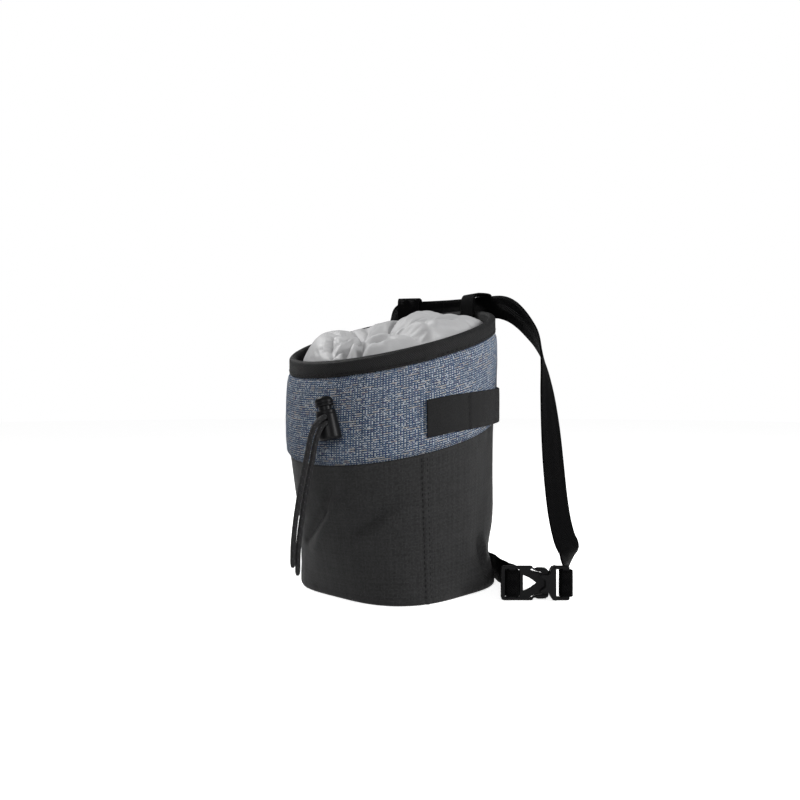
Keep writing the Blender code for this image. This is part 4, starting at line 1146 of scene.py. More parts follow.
# ---------------------------------------------------------------- the stage

def floor_finish():
    """Plain pale floor with a very fine unevenness."""
    f = Finish("pale_floor")
    cloud = f.cloud(3.0, 2.0)
    f.set(Base_Color=f.shade(colours().floor, 0.985 + 0.03 * cloud), Roughness=0.75, Specular_IOR_Level=0.1,
          Emission_Color=(1.0, 1.0, 1.0, 1.0), Emission_Strength=FLOOR_GLOW)
    return f.material


def area_light(name, place, aim, size, power):
    """Square soft light aimed at a point."""
    data = bpy.data.lights.new(name, "AREA")
    data.shape = "SQUARE"
    data.size = size
    data.energy = power
    lamp = bpy.data.objects.new(name, data)
    bpy.context.scene.collection.objects.link(lamp)
    lamp.location = place
    lamp.rotation_euler = (aim - place).to_track_quat("-Z", "Y").to_euler()


class CHALKBAG_OT_stage(bpy.types.Operator):
    """Set the camera, the pale floor and the soft lights"""
    bl_idname = "chalk_bag.stage"
    bl_label = "Camera, Floor and Lights"

    def execute(self, context):
        stage = context.scene.chalk_bag_stage
        right = Vector((math.cos(stage.camera_turn), math.sin(stage.camera_turn), 0.0))
        deep = Vector((-right.y, right.x, 0.0))
        data = bpy.data.cameras.new("bag_camera")
        data.sensor_width = 36.0
        data.lens = stage.lens
        data.clip_start = 0.01
        camera = bpy.data.objects.new("bag_camera", data)
        context.scene.collection.objects.link(camera)
        up = Vector((0.0, 0.0, 1.0))
        camera.location = right * CAMERA_ASIDE - deep * stage.camera_distance + up * stage.camera_height
        look = deep * math.cos(CAMERA_PITCH) - up * math.sin(CAMERA_PITCH)
        camera.rotation_euler = look.to_track_quat("-Z", "Y").to_euler()
        context.scene.camera = camera
        context.scene.view_settings.view_transform = "Standard"
        self.floor(context)
        self.backdrop(context)
        for name, aside, away, high, size in LIGHTS:
            area_light(name + "_light", aside * right + away * deep + high * up, AIM, size, getattr(stage, name))
        world = bpy.data.worlds.new("white_surround")
        context.scene.world = world
        world.use_nodes = True
        surround = world.node_tree.nodes["Background"]
        surround.inputs["Color"].default_value = (1.0, 1.0, 1.0, 1.0)
        surround.inputs["Strength"].default_value = stage.sky
        return {"FINISHED"}

    def floor(self, context):
        """Plain pale floor, which throws no light back on the bag."""
        mesh = bpy.data.meshes.new("pale_floor")
        mesh.from_pydata([(x * FLOOR_REACH, y * FLOOR_REACH, 0.0) for x, y in ((-1, -1), (1, -1), (1, 1), (-1, 1))],
                         [], [(0, 1, 2, 3)])
        mesh.materials.append(floor_finish())
        floor = bpy.data.objects.new("pale_floor", mesh)
        floor.location.z = -0.1 * MM
        floor.visible_diffuse = False
        context.scene.collection.objects.link(floor)

    def backdrop(self, context):
        """Plain white dome round the floor, which only the camera sees."""
        work = bmesh.new()
        bmesh.ops.create_uvsphere(work, u_segments=48, v_segments=24, radius=FLOOR_REACH * 0.98)
        mesh = bpy.data.meshes.new("pale_backdrop")
        work.to_mesh(mesh)
        work.free()
        paint = Finish("pale_backdrop")
        paint.set(Base_Color=(0.0, 0.0, 0.0, 1.0), Specular_IOR_Level=0.0, Emission_Color=(1.0, 1.0, 1.0, 1.0),
                  Emission_Strength=1.0)
        mesh.materials.append(paint.material)
        backdrop = bpy.data.objects.new("pale_backdrop", mesh)
        context.scene.collection.objects.link(backdrop)
        backdrop.visible_diffuse = False
        backdrop.visible_glossy = False
        backdrop.visible_shadow = False


# ---------------------------------------------------------------- drawcord

def band_front(angle, height):
    """Outer distance of the band from the bag's axis at a height, as the frame has it."""
    top = rim_point(angle).z - BINDING_WIDTH
    share = (top - height) / (top - seam_point(angle).z)
    return band_point(angle, share, row_value(PUFF_ROWS, share)).xy.length


def lock_place():
    """Place of the cord lock: origin in the middle of its cord hole, +Z along the barrel, -Y outwards."""
    middle = outward(LOCK_TURN) * (band_front(LOCK_TURN, LOCK_HEIGHT) + LOCK_STANDOFF + BARREL_FOOT_RADIUS)
    middle.z = LOCK_HEIGHT
    turn = Matrix.Rotation(math.radians(LOCK_TURN), 4, "Z")
    tilt = Matrix.Rotation(math.radians(-LOCK_TILT), 4, "Y")
    face = Matrix.Rotation(math.radians(LOCK_FACE - LOCK_TURN), 4, "Z")
    return Matrix.Translation(middle) @ turn @ tilt @ face


def strand_points(upper, drop):
    """Route of one strand: out of the band, through the lock, over its mouth and down."""
    place = lock_place()
    lane = CORD_SPREAD / 2 if upper else -CORD_SPREAD / 2
    back = (BARREL_FOOT_RADIUS + LOCK_STANDOFF) / cos_deg(LOCK_FACE - LOCK_TURN) - CORD_DIAMETER * 0.30
    mouth = -BARREL_FOOT_RADIUS * 0.97
    points = [place @ Vector((0.0, back + (mouth - back) * part / 4, lane)) for part in range(5)]
    start = points[-1]
    front = outward(LOCK_TURN)
    right = Vector((-front.y, front.x, 0.0))
    wider = STRAND_LANE if upper else 0.0
    for share, sideways, forwards in STRAND_ROWS:
        bend = min(forwards / STRAND_ROWS[3][2], 1.0)
        way = front * (forwards + wider * bend) + right * (sideways - wider * 0.15 * bend)
        point = start + way * CORD_DIAMETER
        point.z = start.z - share * drop
        points.append(point)
    return points


def build_strand(name, node, upper, drop):
    """One strand of the drawcord with its braid and its heat-cut end."""
    path = smooth_between(strand_points(upper, drop), 8)
    lengths = run_lengths(path)
    grid = []
    for (side, over), point, run in zip(frames_along(path), path, lengths):
        left = lengths[-1] - run
        taper = 1.0 if left > CORD_TAPER else 0.55 + 0.45 * math.sqrt(max(left / CORD_TAPER, 0.0))
        radius = CORD_DIAMETER / 2 * taper
        grid.append([point + (side * cos_deg(turn) + over * sin_deg(turn)) * radius for turn in turns(CORD_SIDES)])
    girth = math.pi * CORD_DIAMETER / MM
    mesh = skin(name, grid, lambda row, column: (girth * column / CORD_SIDES, lengths[row] / MM), True)
    reworked(mesh, point_ends, CORD_SIDES, len(grid))
    cord = add_piece(name, mesh, "cord", node)
    tuple(path[0])
    [tuple(point) for point in path]


class CHALKBAG_OT_drawcord(bpy.types.Operator):
    """Build the two hanging strands of the drawcord"""
    bl_idname = "chalk_bag.drawcord"
    bl_label = "Drawcord"

    def execute(self, context):
        for side, upper, drop in (("left", True, STRAND_DROP_LEFT), ("right", False, STRAND_DROP_RIGHT)):
            build_strand("drawcord_strand_" + side, "drawcord_" + side, upper, drop)
        return {"FINISHED"}


# ---------------------------------------------------------------- cloth pieces

class CHALKBAG_OT_lower_body(bpy.types.Operator):
    """Build the black cloth body with its folds, side seams and bottom"""
    bl_idname = "chalk_bag.lower_body"
    bl_label = "Lower Body and Bottom"

    def execute(self, context):
        angles = turns(RING)
        shares = [0.004 + 0.996 * (row / BODY_ROWS) ** 1.15 for row in range(BODY_ROWS + 1)]
        grid = [[lower_point(angle, share) for angle in angles] for share in shares]
        grid.append([point - outward(angle) * 1.2 * MM + Vector((0.0, 0.0, 1.5 * MM))
                     for point, angle in zip(grid[-1], angles)])
        around = math.tau * SEAM_RADIUS / MM
        heights = [share * SEAM_HEIGHT / MM for share in shares] + [SEAM_HEIGHT / MM + 2.0]
        mesh = skin("lower_body_cloth", grid, lambda row, column: (around * column / RING, heights[row]), True)
        body = add_piece("lower_body_cloth", mesh, "cloth", "lower_body")
        thicken(body, CLOTH_THICKNESS)
        self.bottom(angles)
        self.seam_stitches()
        return {"FINISHED"}

    def bottom(self, angles):
        """Bottom panel with its sewn edge."""
        grid = []
        for ring, lift in BOTTOM_ROWS:
            row = []
            for angle in angles:
                point = base_point(angle) * ring * BOTTOM_SHARE
                wave = 0.15 * noise.noise(Vector((angle / 9.0, ring * 6.0, 1.0)))
                point.z = (lift + wave * math.sin(math.pi * ring)) * MM
                row.append(point)
            grid.append(row)
        mesh = skin("bottom_panel_cloth", grid,
                    lambda row, column: (grid[row][column % RING].x / MM, grid[row][column % RING].y / MM), True)
        reworked(mesh, fill_middle, BASE_RADIUS * 0.3)
        panel = add_piece("bottom_panel_cloth", mesh, "cloth", "base_panel")
        thicken(panel, BOTTOM_THICKNESS, 1.0)

    def seam_stitches(self):
        """Two rows of stitches beside each side seam, in the black cloth."""
        for side, turn in (("right", SIDE_SEAM), ("left", SIDE_SEAM + 180.0)):
            for row, off in (("front", -SIDE_STITCHES), ("back", SIDE_STITCHES)):
                line = [lower_point(turn + off, 0.035 + 0.945 * step / 90) for step in range(91)]
                stitch_row(f"side_stitches_{side}_{row}", line, [outward(turn + off)] * len(line))


class CHALKBAG_OT_upper_band(bpy.types.Operator):
    """Build the padded tweed band and its black lining"""
    bl_idname = "chalk_bag.upper_band"
    bl_label = "Upper Band"

    def execute(self, context):
        angles = turns(RING)
        shares = [1.0 - row / BAND_ROWS for row in range(BAND_ROWS + 1)]
        grid = []
        for inset, lift in ((1.6, 2.2), (1.3, 0.8), (0.6, 0.15)):
            grid.append([band_surface(angle, 1.0) - outward(angle) * inset * MM + Vector((0.0, 0.0, lift * MM))
                         for angle in angles])
        grid += [[band_surface(angle, share) for angle in angles] for share in shares]
        for drop in (BINDING_WIDTH * 0.8, BINDING_WIDTH * 0.45):
            grid.append([lowered(rim_point(angle, BINDING_TAPE + GAP * 1.5), drop) for angle in angles])
        around = math.tau * SEAM_RADIUS / MM
        heights = run_lengths([row[0] / MM for row in grid])
        mesh = skin("upper_band_tweed", grid, lambda row, column: (around * column / RING, heights[row]), True)
        band = add_piece("upper_band_tweed", mesh, "tweed", "upper_panel")
        thicken(band, BAND_THICKNESS)
        self.lining(angles[::2])
        return {"FINISHED"}

    def lining(self, angles):
        """Smooth lining inside the band."""
        grid = []
        for step in range(LINING_ROWS + 1):
            share = step / LINING_ROWS
            row = []
            for angle in angles:
                head = lowered(rim_point(angle, BINDING_TAPE + GAP + PANEL_WALL - 0.2 * MM), BINDING_WIDTH * 0.6)
                point = mix(seam_point(angle, PANEL_WALL - 0.5 * MM), head, share)
                wave = sizes().crinkle * crinkle(point, LINING_WAVE, 30.0) * math.sin(math.pi * share)
                row.append(point + outward(angle) * wave)
            grid.append(row)
        around = math.tau * SEAM_RADIUS / MM
        mesh = skin("band_lining", grid, lambda row, column: (around * column / len(angles), row * 1.5), True)
        add_piece("band_lining", mesh, "cloth")


class CHALKBAG_OT_rim_binding(bpy.types.Operator):
    """Build the folded tape over the rim"""
    bl_idname = "chalk_bag.rim_binding"
    bl_label = "Rim Binding"

    def execute(self, context):
        inner = binding_depth()
        bend = inner / 2
        fold = [(0.0, BINDING_WIDTH * share) for share in (1.0, 0.93, 0.86, 0.78, 0.65, 0.52, 0.40)]
        fold += [(bend - bend * cos_deg(turn), bend - bend * sin_deg(turn)) for turn in range(0, 181, 15)]
        fold += [(inner, BINDING_WIDTH * share) for share in (0.40, 0.60, 0.80, 1.0)]
        runs = run_lengths([Vector(spot) / MM for spot in fold])
        grid = []
        for number, (inset, drop) in enumerate(fold):
            row = []
            outside = inset == 0.0
            off = drop / BINDING_WIDTH - BINDING_STITCHES
            for angle in turns(BINDING_COLUMNS):
                arc = math.radians(angle) * RIM_RADIUS / MM
                wave = 0.22 * noise.noise(Vector((arc / 9.0, number * 0.35, 4.0)))
                sag = 0.0
                if outside:
                    wave += 0.14 * math.sin(arc / 0.52) * hump(off, 0.10) - 0.30 * hump(off, 0.08)
                    lap = angle_between(angle, SIDE_SEAM)
                    wave += 0.45 * ease((lap + 0.35) / 0.7) * ease((9.0 - lap) / 3.0)
                    sag = 0.25 * noise.noise(Vector((arc / 14.0, 9.0, 4.0))) * (drop / BINDING_WIDTH) ** 2
                point = lowered(rim_point(angle, inset), drop - sag * MM)
                row.append(point + outward(angle) * wave * MM)
            grid.append(row)
        around = math.tau * RIM_RADIUS / MM
        mesh = skin("rim_binding_tape", grid,
                    lambda row, column: (runs[row], around * column / BINDING_COLUMNS), True)
        tape = add_piece("rim_binding_tape", mesh, "tape", "rim_binding")
        thicken(tape, BINDING_TAPE * 0.85)
        angles = [step / 2 for step in range(721)]
        line = [lowered(rim_point(angle, 0.12 * MM), BINDING_WIDTH * BINDING_STITCHES) for angle in angles]
        stitch_row("binding_stitches", line, [outward(angle) for angle in angles])
        return {"FINISHED"}


def collar_edge(angle):
    """Point where the collar stands free of the binding, at the binding's lower edge."""
    pull = COLLAR_PULL * hump(angle_between(angle, COLLAR_PULL_TURN), 45.0)
    return lowered(rim_point(angle, COLLAR_INSET + pull), BINDING_WIDTH / 2)


def collar_point(angle, share, rise):
    """Point of the closed collar, from its inset edge (0) to the mouth (1), without its small folds."""
    mouth = MOUTH + outward(angle) * MOUTH_RADIUS
    mouth.z = RIM_HEIGHT + RIM_SLOPE * (mouth - TOP_SHIFT).dot(outward(RIM_HIGH_TURN))
    point = mix(collar_edge(angle), mouth, share)
    for _, turn, middle, wide, reach, height in COLLAR_LUMPS:
        rise += height * hump(angle_between(angle, turn), wide) * hump(share - middle, reach)
    point.z += rise * COLLAR_RISE
    return point


def collar_folds(point):
    """Height of the collar's own folds at a point of the plan."""
    right = Vector((cos_deg(FOLDS_TURN), sin_deg(FOLDS_TURN)))
    deep = Vector((-right.y, right.x))
    spot = Vector((point.xy.dot(right), point.xy.dot(deep))) / MM
    height = 0.0
    for _, ax, ay, bx, by, near, far, lift in COLLAR_FOLDS:
        start = Vector((ax, ay))
        run = Vector((bx, by)) - start
        along = min(max((spot - start).dot(run) / run.dot(run), 0.0), 1.0)
        fade = math.sin(math.pi * (0.20 + 0.72 * along))
        off = (spot - start - run * along).length / mix(near, far, along)
        height += lift * fade * (math.exp(-off * off) if lift > 0.0 else 1.25 * math.exp(-1.2 * off))
    return height * MM


def collar_lines():
    """Lines of cloth from the sewn edge to the mouth, evenly divided."""
    lines = []
    for angle in turns(COLLAR_COLUMNS):
        sewn = lowered(rim_point(angle, BINDING_TAPE + 2 * GAP + PANEL_WALL), BINDING_WIDTH + COLLAR_DROP)
        free = mix(collar_edge(angle), rim_point(angle, COLLAR_INSET), 0.3)
        free.z = rim_point(angle).z - BINDING_WIDTH - COLLAR_DROP / 4
        fine = smooth_between([sewn, free] + [collar_point(angle, share, rise) for share, rise in COLLAR_ROWS], 12)
        lengths = run_lengths(fine)
        points = []
        index = 0
        for row in range(COLLAR_TURNS + 1):
            index, part = place_on(lengths, lengths[-1] * row / COLLAR_TURNS, index)
            points.append(fine[index].lerp(fine[index + 1], min(part, 1.0)))
        lines.append(points)
    return lines


def free_share(share):
    """How freely the collar's cloth folds at a share of the way from its sewn edge to the mouth."""
    return ease((share - 0.10) / 0.22)


def gathers(angle, share):
    """Uneven gathers of the cloth before it settles, / COLLAR_GATHER."""
    turn = math.radians(angle)
    return (math.sin(13 * turn + 1.3 * math.sin(2 * turn + 0.7)) + 0.8 * math.sin(8 * turn + 0.9 * math.sin(3 * turn))
            + noise.noise(Vector((math.cos(turn) * 3, math.sin(turn) * 3, share * 2.0))))


def pleats(angle, share):
    """Pleats that run together at the mouth, / COLLAR_PLEAT."""
    turn = math.radians(angle)
    return math.sin(17 * turn + 1.6 * math.sin(3 * turn)) * ease((share - 0.62) / 0.3)


def settled(grid, held):
    """Grid of points after it has settled as a cloth that is a little wider and puffed by air."""
    rows, columns = len(grid), len(grid[0])
    mesh = bpy.data.meshes.new("settling_cloth")
    mesh.from_pydata([tuple(point * CLOTH_SCALE) for row in grid for point in row], [], [
        (row * columns + column, row * columns + (column + 1) % columns,
         (row + 1) * columns + (column + 1) % columns, (row + 1) * columns + column)
        for row in range(rows - 1) for column in range(columns)])
    thing = bpy.data.objects.new("settling_cloth", mesh)
    bpy.context.scene.collection.objects.link(thing)
    group = thing.vertex_groups.new(name="held")
    group.add([row * columns + column for row in held for column in range(columns)], 1.0, "REPLACE")
    cloth = thing.modifiers.new("cloth", "CLOTH")
    stuffing = cloth.settings
    stuffing.quality = 6
    stuffing.mass = 0.3
    stuffing.tension_stiffness = 15.0
    stuffing.compression_stiffness = 15.0
    stuffing.shear_stiffness = 4.0
    stuffing.bending_stiffness = COLLAR_BEND
    stuffing.air_damping = 1.0
    stuffing.vertex_group_mass = "held"
    stuffing.shrink_min = -COLLAR_GROWTH
    stuffing.use_pressure = True
    stuffing.uniform_pressure_force = COLLAR_PRESSURE
    stuffing.effector_weights.gravity = 0.0
    cloth.collision_settings.use_collision = False
    cloth.point_cache.frame_start = 1
    cloth.point_cache.frame_end = 2 * COLLAR_MOMENTS
    for moment in range(1, COLLAR_MOMENTS + 1):
        bpy.context.scene.frame_set(moment)
    graph = bpy.context.evaluated_depsgraph_get()
    result = [corner.co / CLOTH_SCALE for corner in thing.evaluated_get(graph).to_mesh().vertices]
    bpy.data.objects.remove(thing, do_unlink=True)
    bpy.context.scene.frame_set(1)
    moved = []
    for row in range(rows):
        line = []
        for column in range(columns):
            way = result[row * columns + column] - grid[row][column]
            if way.length > COLLAR_CAP:
                way *= COLLAR_CAP / way.length
            line.append(grid[row][column] + way)
        moved.append(line)
    return moved


class CHALKBAG_OT_collar(bpy.types.Operator):
    """Build the nylon collar, drawn shut, with its gathers"""
    bl_idname = "chalk_bag.collar"
    bl_label = "Drawn Collar"

    def execute(self, context):
        angles = turns(COLLAR_COLUMNS)
        lines = collar_lines()
        shares = [row / COLLAR_TURNS for row in range(COLLAR_TURNS + 1)]
        grid = [[lowered(line[row], -COLLAR_GATHER * gathers(angle, share) * free_share(share))
                 for angle, line in zip(angles, lines)] for row, share in enumerate(shares)]
        grid = settled(grid, (0, 1, COLLAR_TURNS - 1, COLLAR_TURNS))
        for share, ring in zip(shares, grid):
            for angle, point in zip(angles, ring):
                fold = COLLAR_FOLD_SCALE * collar_folds(point) + COLLAR_PLEAT * pleats(angle, share)
                point.z += fold * free_share(share)
        grid.append([lowered(point.copy(), HEM_LENGTH) for point in grid[-1]])
        around = math.tau * RIM_RADIUS / MM
        mesh = skin("collar_nylon", grid, lambda row, column: (around * column / COLLAR_COLUMNS, 1.5 * row), True)
        collar = add_piece("collar_nylon", mesh, "nylon", "inner_collar")
        finer = collar.modifiers.new("finer", "SUBSURF")
        finer.levels = 1
        finer.render_levels = 1
        thicken(collar, COLLAR_NYLON)
        return {"FINISHED"}


def strip_point(angle, lift, across, out):
    """Point of the brush strip: across its width (0 to 1) and out from the band."""
    foot = seam_point(angle)
    height = foot.z + (lift + across) * STRIP_WIDTH
    rim = rim_point(angle)
    share = (rim.z - BINDING_WIDTH - height) / (rim.z - BINDING_WIDTH - foot.z)
    share = min(max(share, 0.0), 1.0)
    point = band_point(angle, share, max(row_value(PUFF_ROWS, share), PUFF_ROWS[-2][1]))
    point += outward(angle) * (GAP * 1.5 + out)
    point.z = height
    return point


class CHALKBAG_OT_brush_strip(bpy.types.Operator):
    """Build the strip that holds a brush, with its stitch line"""
    bl_idname = "chalk_bag.brush_strip"
    bl_label = "Brush Strip"

    def execute(self, context):
        first, last = STRIP_ROWS[0][0], STRIP_ROWS[-1][0]
        section = [(across, 0.0) for across in STRIP_ACROSS]
        section += [(across, 1.0 if min(across, 1.0 - across) > 0.01 else 0.55) for across in reversed(STRIP_ACROSS)]
        grid = []
        for step in range(STRIP_STEPS + 1):
            angle = mix(first, last, step / STRIP_STEPS)
            off = math.radians(angle_between(angle, STRIP_LINE_TURN)) * SEAM_RADIUS / MM
            row = []
            for across, over in section:
                pinch = 0.55 * hump(off, 1.0)
                belly = 0.25 * (1.0 - hump(off, 9.0)) * math.sin(math.pi * across)
                wave = 0.15 * noise.noise(Vector((step / 9.0, across * 3.0, 6.0)))
                out = over * (STRIP_THICKNESS * (1.0 - pinch) + (belly + wave) * MM)
                row.append(strip_point(angle, row_value(STRIP_ROWS, angle), across, out))
            grid.append(row)
        radius = SEAM_RADIUS / MM
        places = [across * STRIP_WIDTH / MM for across, _ in section] + [0.0]
        mesh = skin("brush_strip_tape", grid, lambda row, column: (
            places[column], math.radians(mix(first, last, row / STRIP_STEPS)) * radius), True)
        reworked(mesh, close_ends, len(section), len(grid))
        mesh.set_sharp_from_angle(angle=math.radians(50.0))
        add_piece("brush_strip_tape", mesh, "strip", "brush_strip")
        for name, turn in (("middle", STRIP_LINE_TURN), ("end", last - STRIP_END_INSET)):
            line = [strip_point(turn, row_value(STRIP_ROWS, turn), 0.03 + 0.94 * step / 30, STRIP_THICKNESS * 0.52)
                    for step in range(31)]
            stitch_row("strip_stitches_" + name, line, [outward(turn)] * len(line))
        return {"FINISHED"}


# ---------------------------------------------------------------- webbing

def belt_level():
    """Height of the belt's middle between the loops."""
    return max(rim_point(angle).z for angle in turns(54)) + BELT_LIFT


def build_loop(name, node, angle):
    """Webbing loop on the rim: inner leg, round top over the belt, outer leg back to the binding."""
    inner = binding_depth() + GAP * 2 + WEBBING_THICKNESS + WEBBING_WIDTH ** 2 / (8 * RIM_RADIUS)
    top = belt_level() + WEBBING_WIDTH / 2 + GAP * 2 + WEBBING_THICKNESS
    rim = rim_point(angle)
    tall = top - rim.z
    out = GAP + WEBBING_THICKNESS
    room = LOOP_ROOM + out
    low = rim.z - belt_level() + WEBBING_WIDTH / 2 + GAP * 3
    rest = BINDING_WIDTH - low
    path = [
        (-inner, -BINDING_WIDTH * 0.9), (-inner, 0.0), (-inner * 0.95, tall * 0.55), (-inner * 0.78, tall * 0.87),
        (-inner * 0.40, tall * 0.99), (room * 0.60, tall), (room * 0.97, tall * 0.93), (room * 1.06, tall * 0.72),
        (room * 1.04, 0.0), (room * 0.98, -low), (room * 0.60, -low - rest * 0.45),
        (out, -low - rest * 0.80), (out, -BINDING_WIDTH),
    ]
    radial = outward(angle)
    side = Vector((-radial.y, radial.x, 0.0))
    line = [rim + radial * away + Vector((0.0, 0.0, up)) for away, up in path]
    line = smooth_between(line, 6)
    middles = [point - ahead_at(line, index).cross(side) * WEBBING_THICKNESS / 2 for index, point in enumerate(line)]
    mesh = ribbon(name, middles, [side] * len(middles), WEBBING_WIDTH, WEBBING_THICKNESS, False)
    add_piece(name, mesh, "webbing", node)
    for row, down in (("upper", 0.62), ("lower", 0.86)):
        stitches = []
        for step in range(13):
            point = rim + radial * (out + 0.15 * MM) + side * WEBBING_WIDTH * (step / 12 - 0.5) * 0.86
            point.z = rim.z - BINDING_WIDTH * down
            stitches.append(point)
        stitch_row(f"{name}_stitches_{row}", stitches, [radial] * len(stitches))


class CHALKBAG_OT_belt_loops(bpy.types.Operator):
    """Build the two webbing loops on the rim"""
    bl_idname = "chalk_bag.belt_loops"
    bl_label = "Belt Loops"

    def execute(self, context):
        for side, turn in (("left", LOOP_LEFT_TURN), ("right", LOOP_RIGHT_TURN)):
            build_loop("belt_loop_webbing_" + side, "belt_loop_" + side, turn)
        return {"FINISHED"}


def buckle_width():
    """Width of the buckle over its rails."""
    return WEBBING_WIDTH + SLOT_SPARE + 2 * BUCKLE_RAIL


def buckle_place():
    """Place of the buckle: +X along it to the socket's bar, +Y away from the front, +Z up."""
    place = Matrix.Translation((*BUCKLE_PLACE, buckle_width() / 2 + GAP / 2))
    return place @ Matrix.Rotation(math.radians(BUCKLE_TURN), 4, "Z")


def wrap_points(bar, turns_round):
    """Middle line of the webbing round a bar, at angles from the bar's +X side towards its back."""
    wide = BAR_WIDTH / 2 + GAP + WEBBING_THICKNESS / 2 + GAP
    deep = BAR_THICKNESS / 2 + GAP + WEBBING_THICKNESS / 2 + GAP
    return [Vector((bar + wide * squared(cos_deg(turn)), deep * squared(sin_deg(turn)), 0.0)) for turn in turns_round]


def squared(share):
    """Share of a half width for a path that runs round a bar's corners."""
    return math.copysign(abs(share) ** 0.6, share)


def belt_line():
    """Middles and upper-edge directions of the belt from the socket to the ladder lock."""
    place = buckle_place()
    up_edge = Vector((0.0, 0.0, 1.0))
    width = WEBBING_WIDTH
    sewn = [Vector((SOCKET_BAR - width * 0.07, width * 0.52, 0.0)),
            Vector((SOCKET_BAR - width * 0.08, width * 0.30, 0.0))]
    sewn += wrap_points(SOCKET_BAR, (150, 185, 220, 250, 290, 320, 355, 390))
    line = [(place @ point, up_edge) for point in sewn]
    for _, along, behind, up, edge_x, edge_y, edge_z in TURN_ROWS:
        point = Vector((SOCKET_BAR + along * width, behind * width, up * width))
        line.append((place @ point, place.to_3x3() @ Vector((edge_x, edge_y, edge_z))))
    level = belt_level()
    for _, angle, reach, share, edge_turn, edge_rise in BELT_ROWS:
        height = mix(width / 2, level, share)
        middle = outward(angle) * (wall_radius(angle, height) + reach * BELT_REACH)
        middle.z = height
        edge = outward(edge_turn) * cos_deg(edge_rise)
        edge.z = sin_deg(edge_rise)
        line.append((middle, edge))
    slot = LADDER_BAR + BAR_WIDTH / 2 + LADDER_SLOT / 2
    threaded = [Vector((slot, width * 0.9, 0.0)), Vector((slot, width * 0.4, 0.0))]
    threaded += wrap_points(LADDER_BAR, (20, -20, -60, -90, -120, -160, -200))
    threaded += [Vector((LADDER_BAR - width * 0.10, width * 0.36, 0.0)),
                 Vector((LADDER_BAR + width * 0.02, width * 0.82, 0.0))]
    line += [(place @ point, up_edge) for point in threaded]
    return line


class CHALKBAG_OT_waist_belt(bpy.types.Operator):
    """Build the waist belt as one length of webbing through both loops and the buckle"""
    bl_idname = "chalk_bag.waist_belt"
    bl_label = "Waist Belt"

    def execute(self, context):
        line = belt_line()
        middles = smooth_between([middle for middle, _ in line], 8)
        edges = smooth_between([edge for _, edge in line], 8)
        mesh = ribbon("waist_belt_webbing", middles, edges, WEBBING_WIDTH, WEBBING_THICKNESS)
        add_piece("waist_belt_webbing", mesh, "webbing", "waist_belt")
        return {"FINISHED"}


# ---------------------------------------------------------------- hard fittings

def box_outline(low_x, high_x, half):
    """Four corners of a slot."""
    return [(low_x, -half), (high_x, -half), (high_x, half), (low_x, half)]


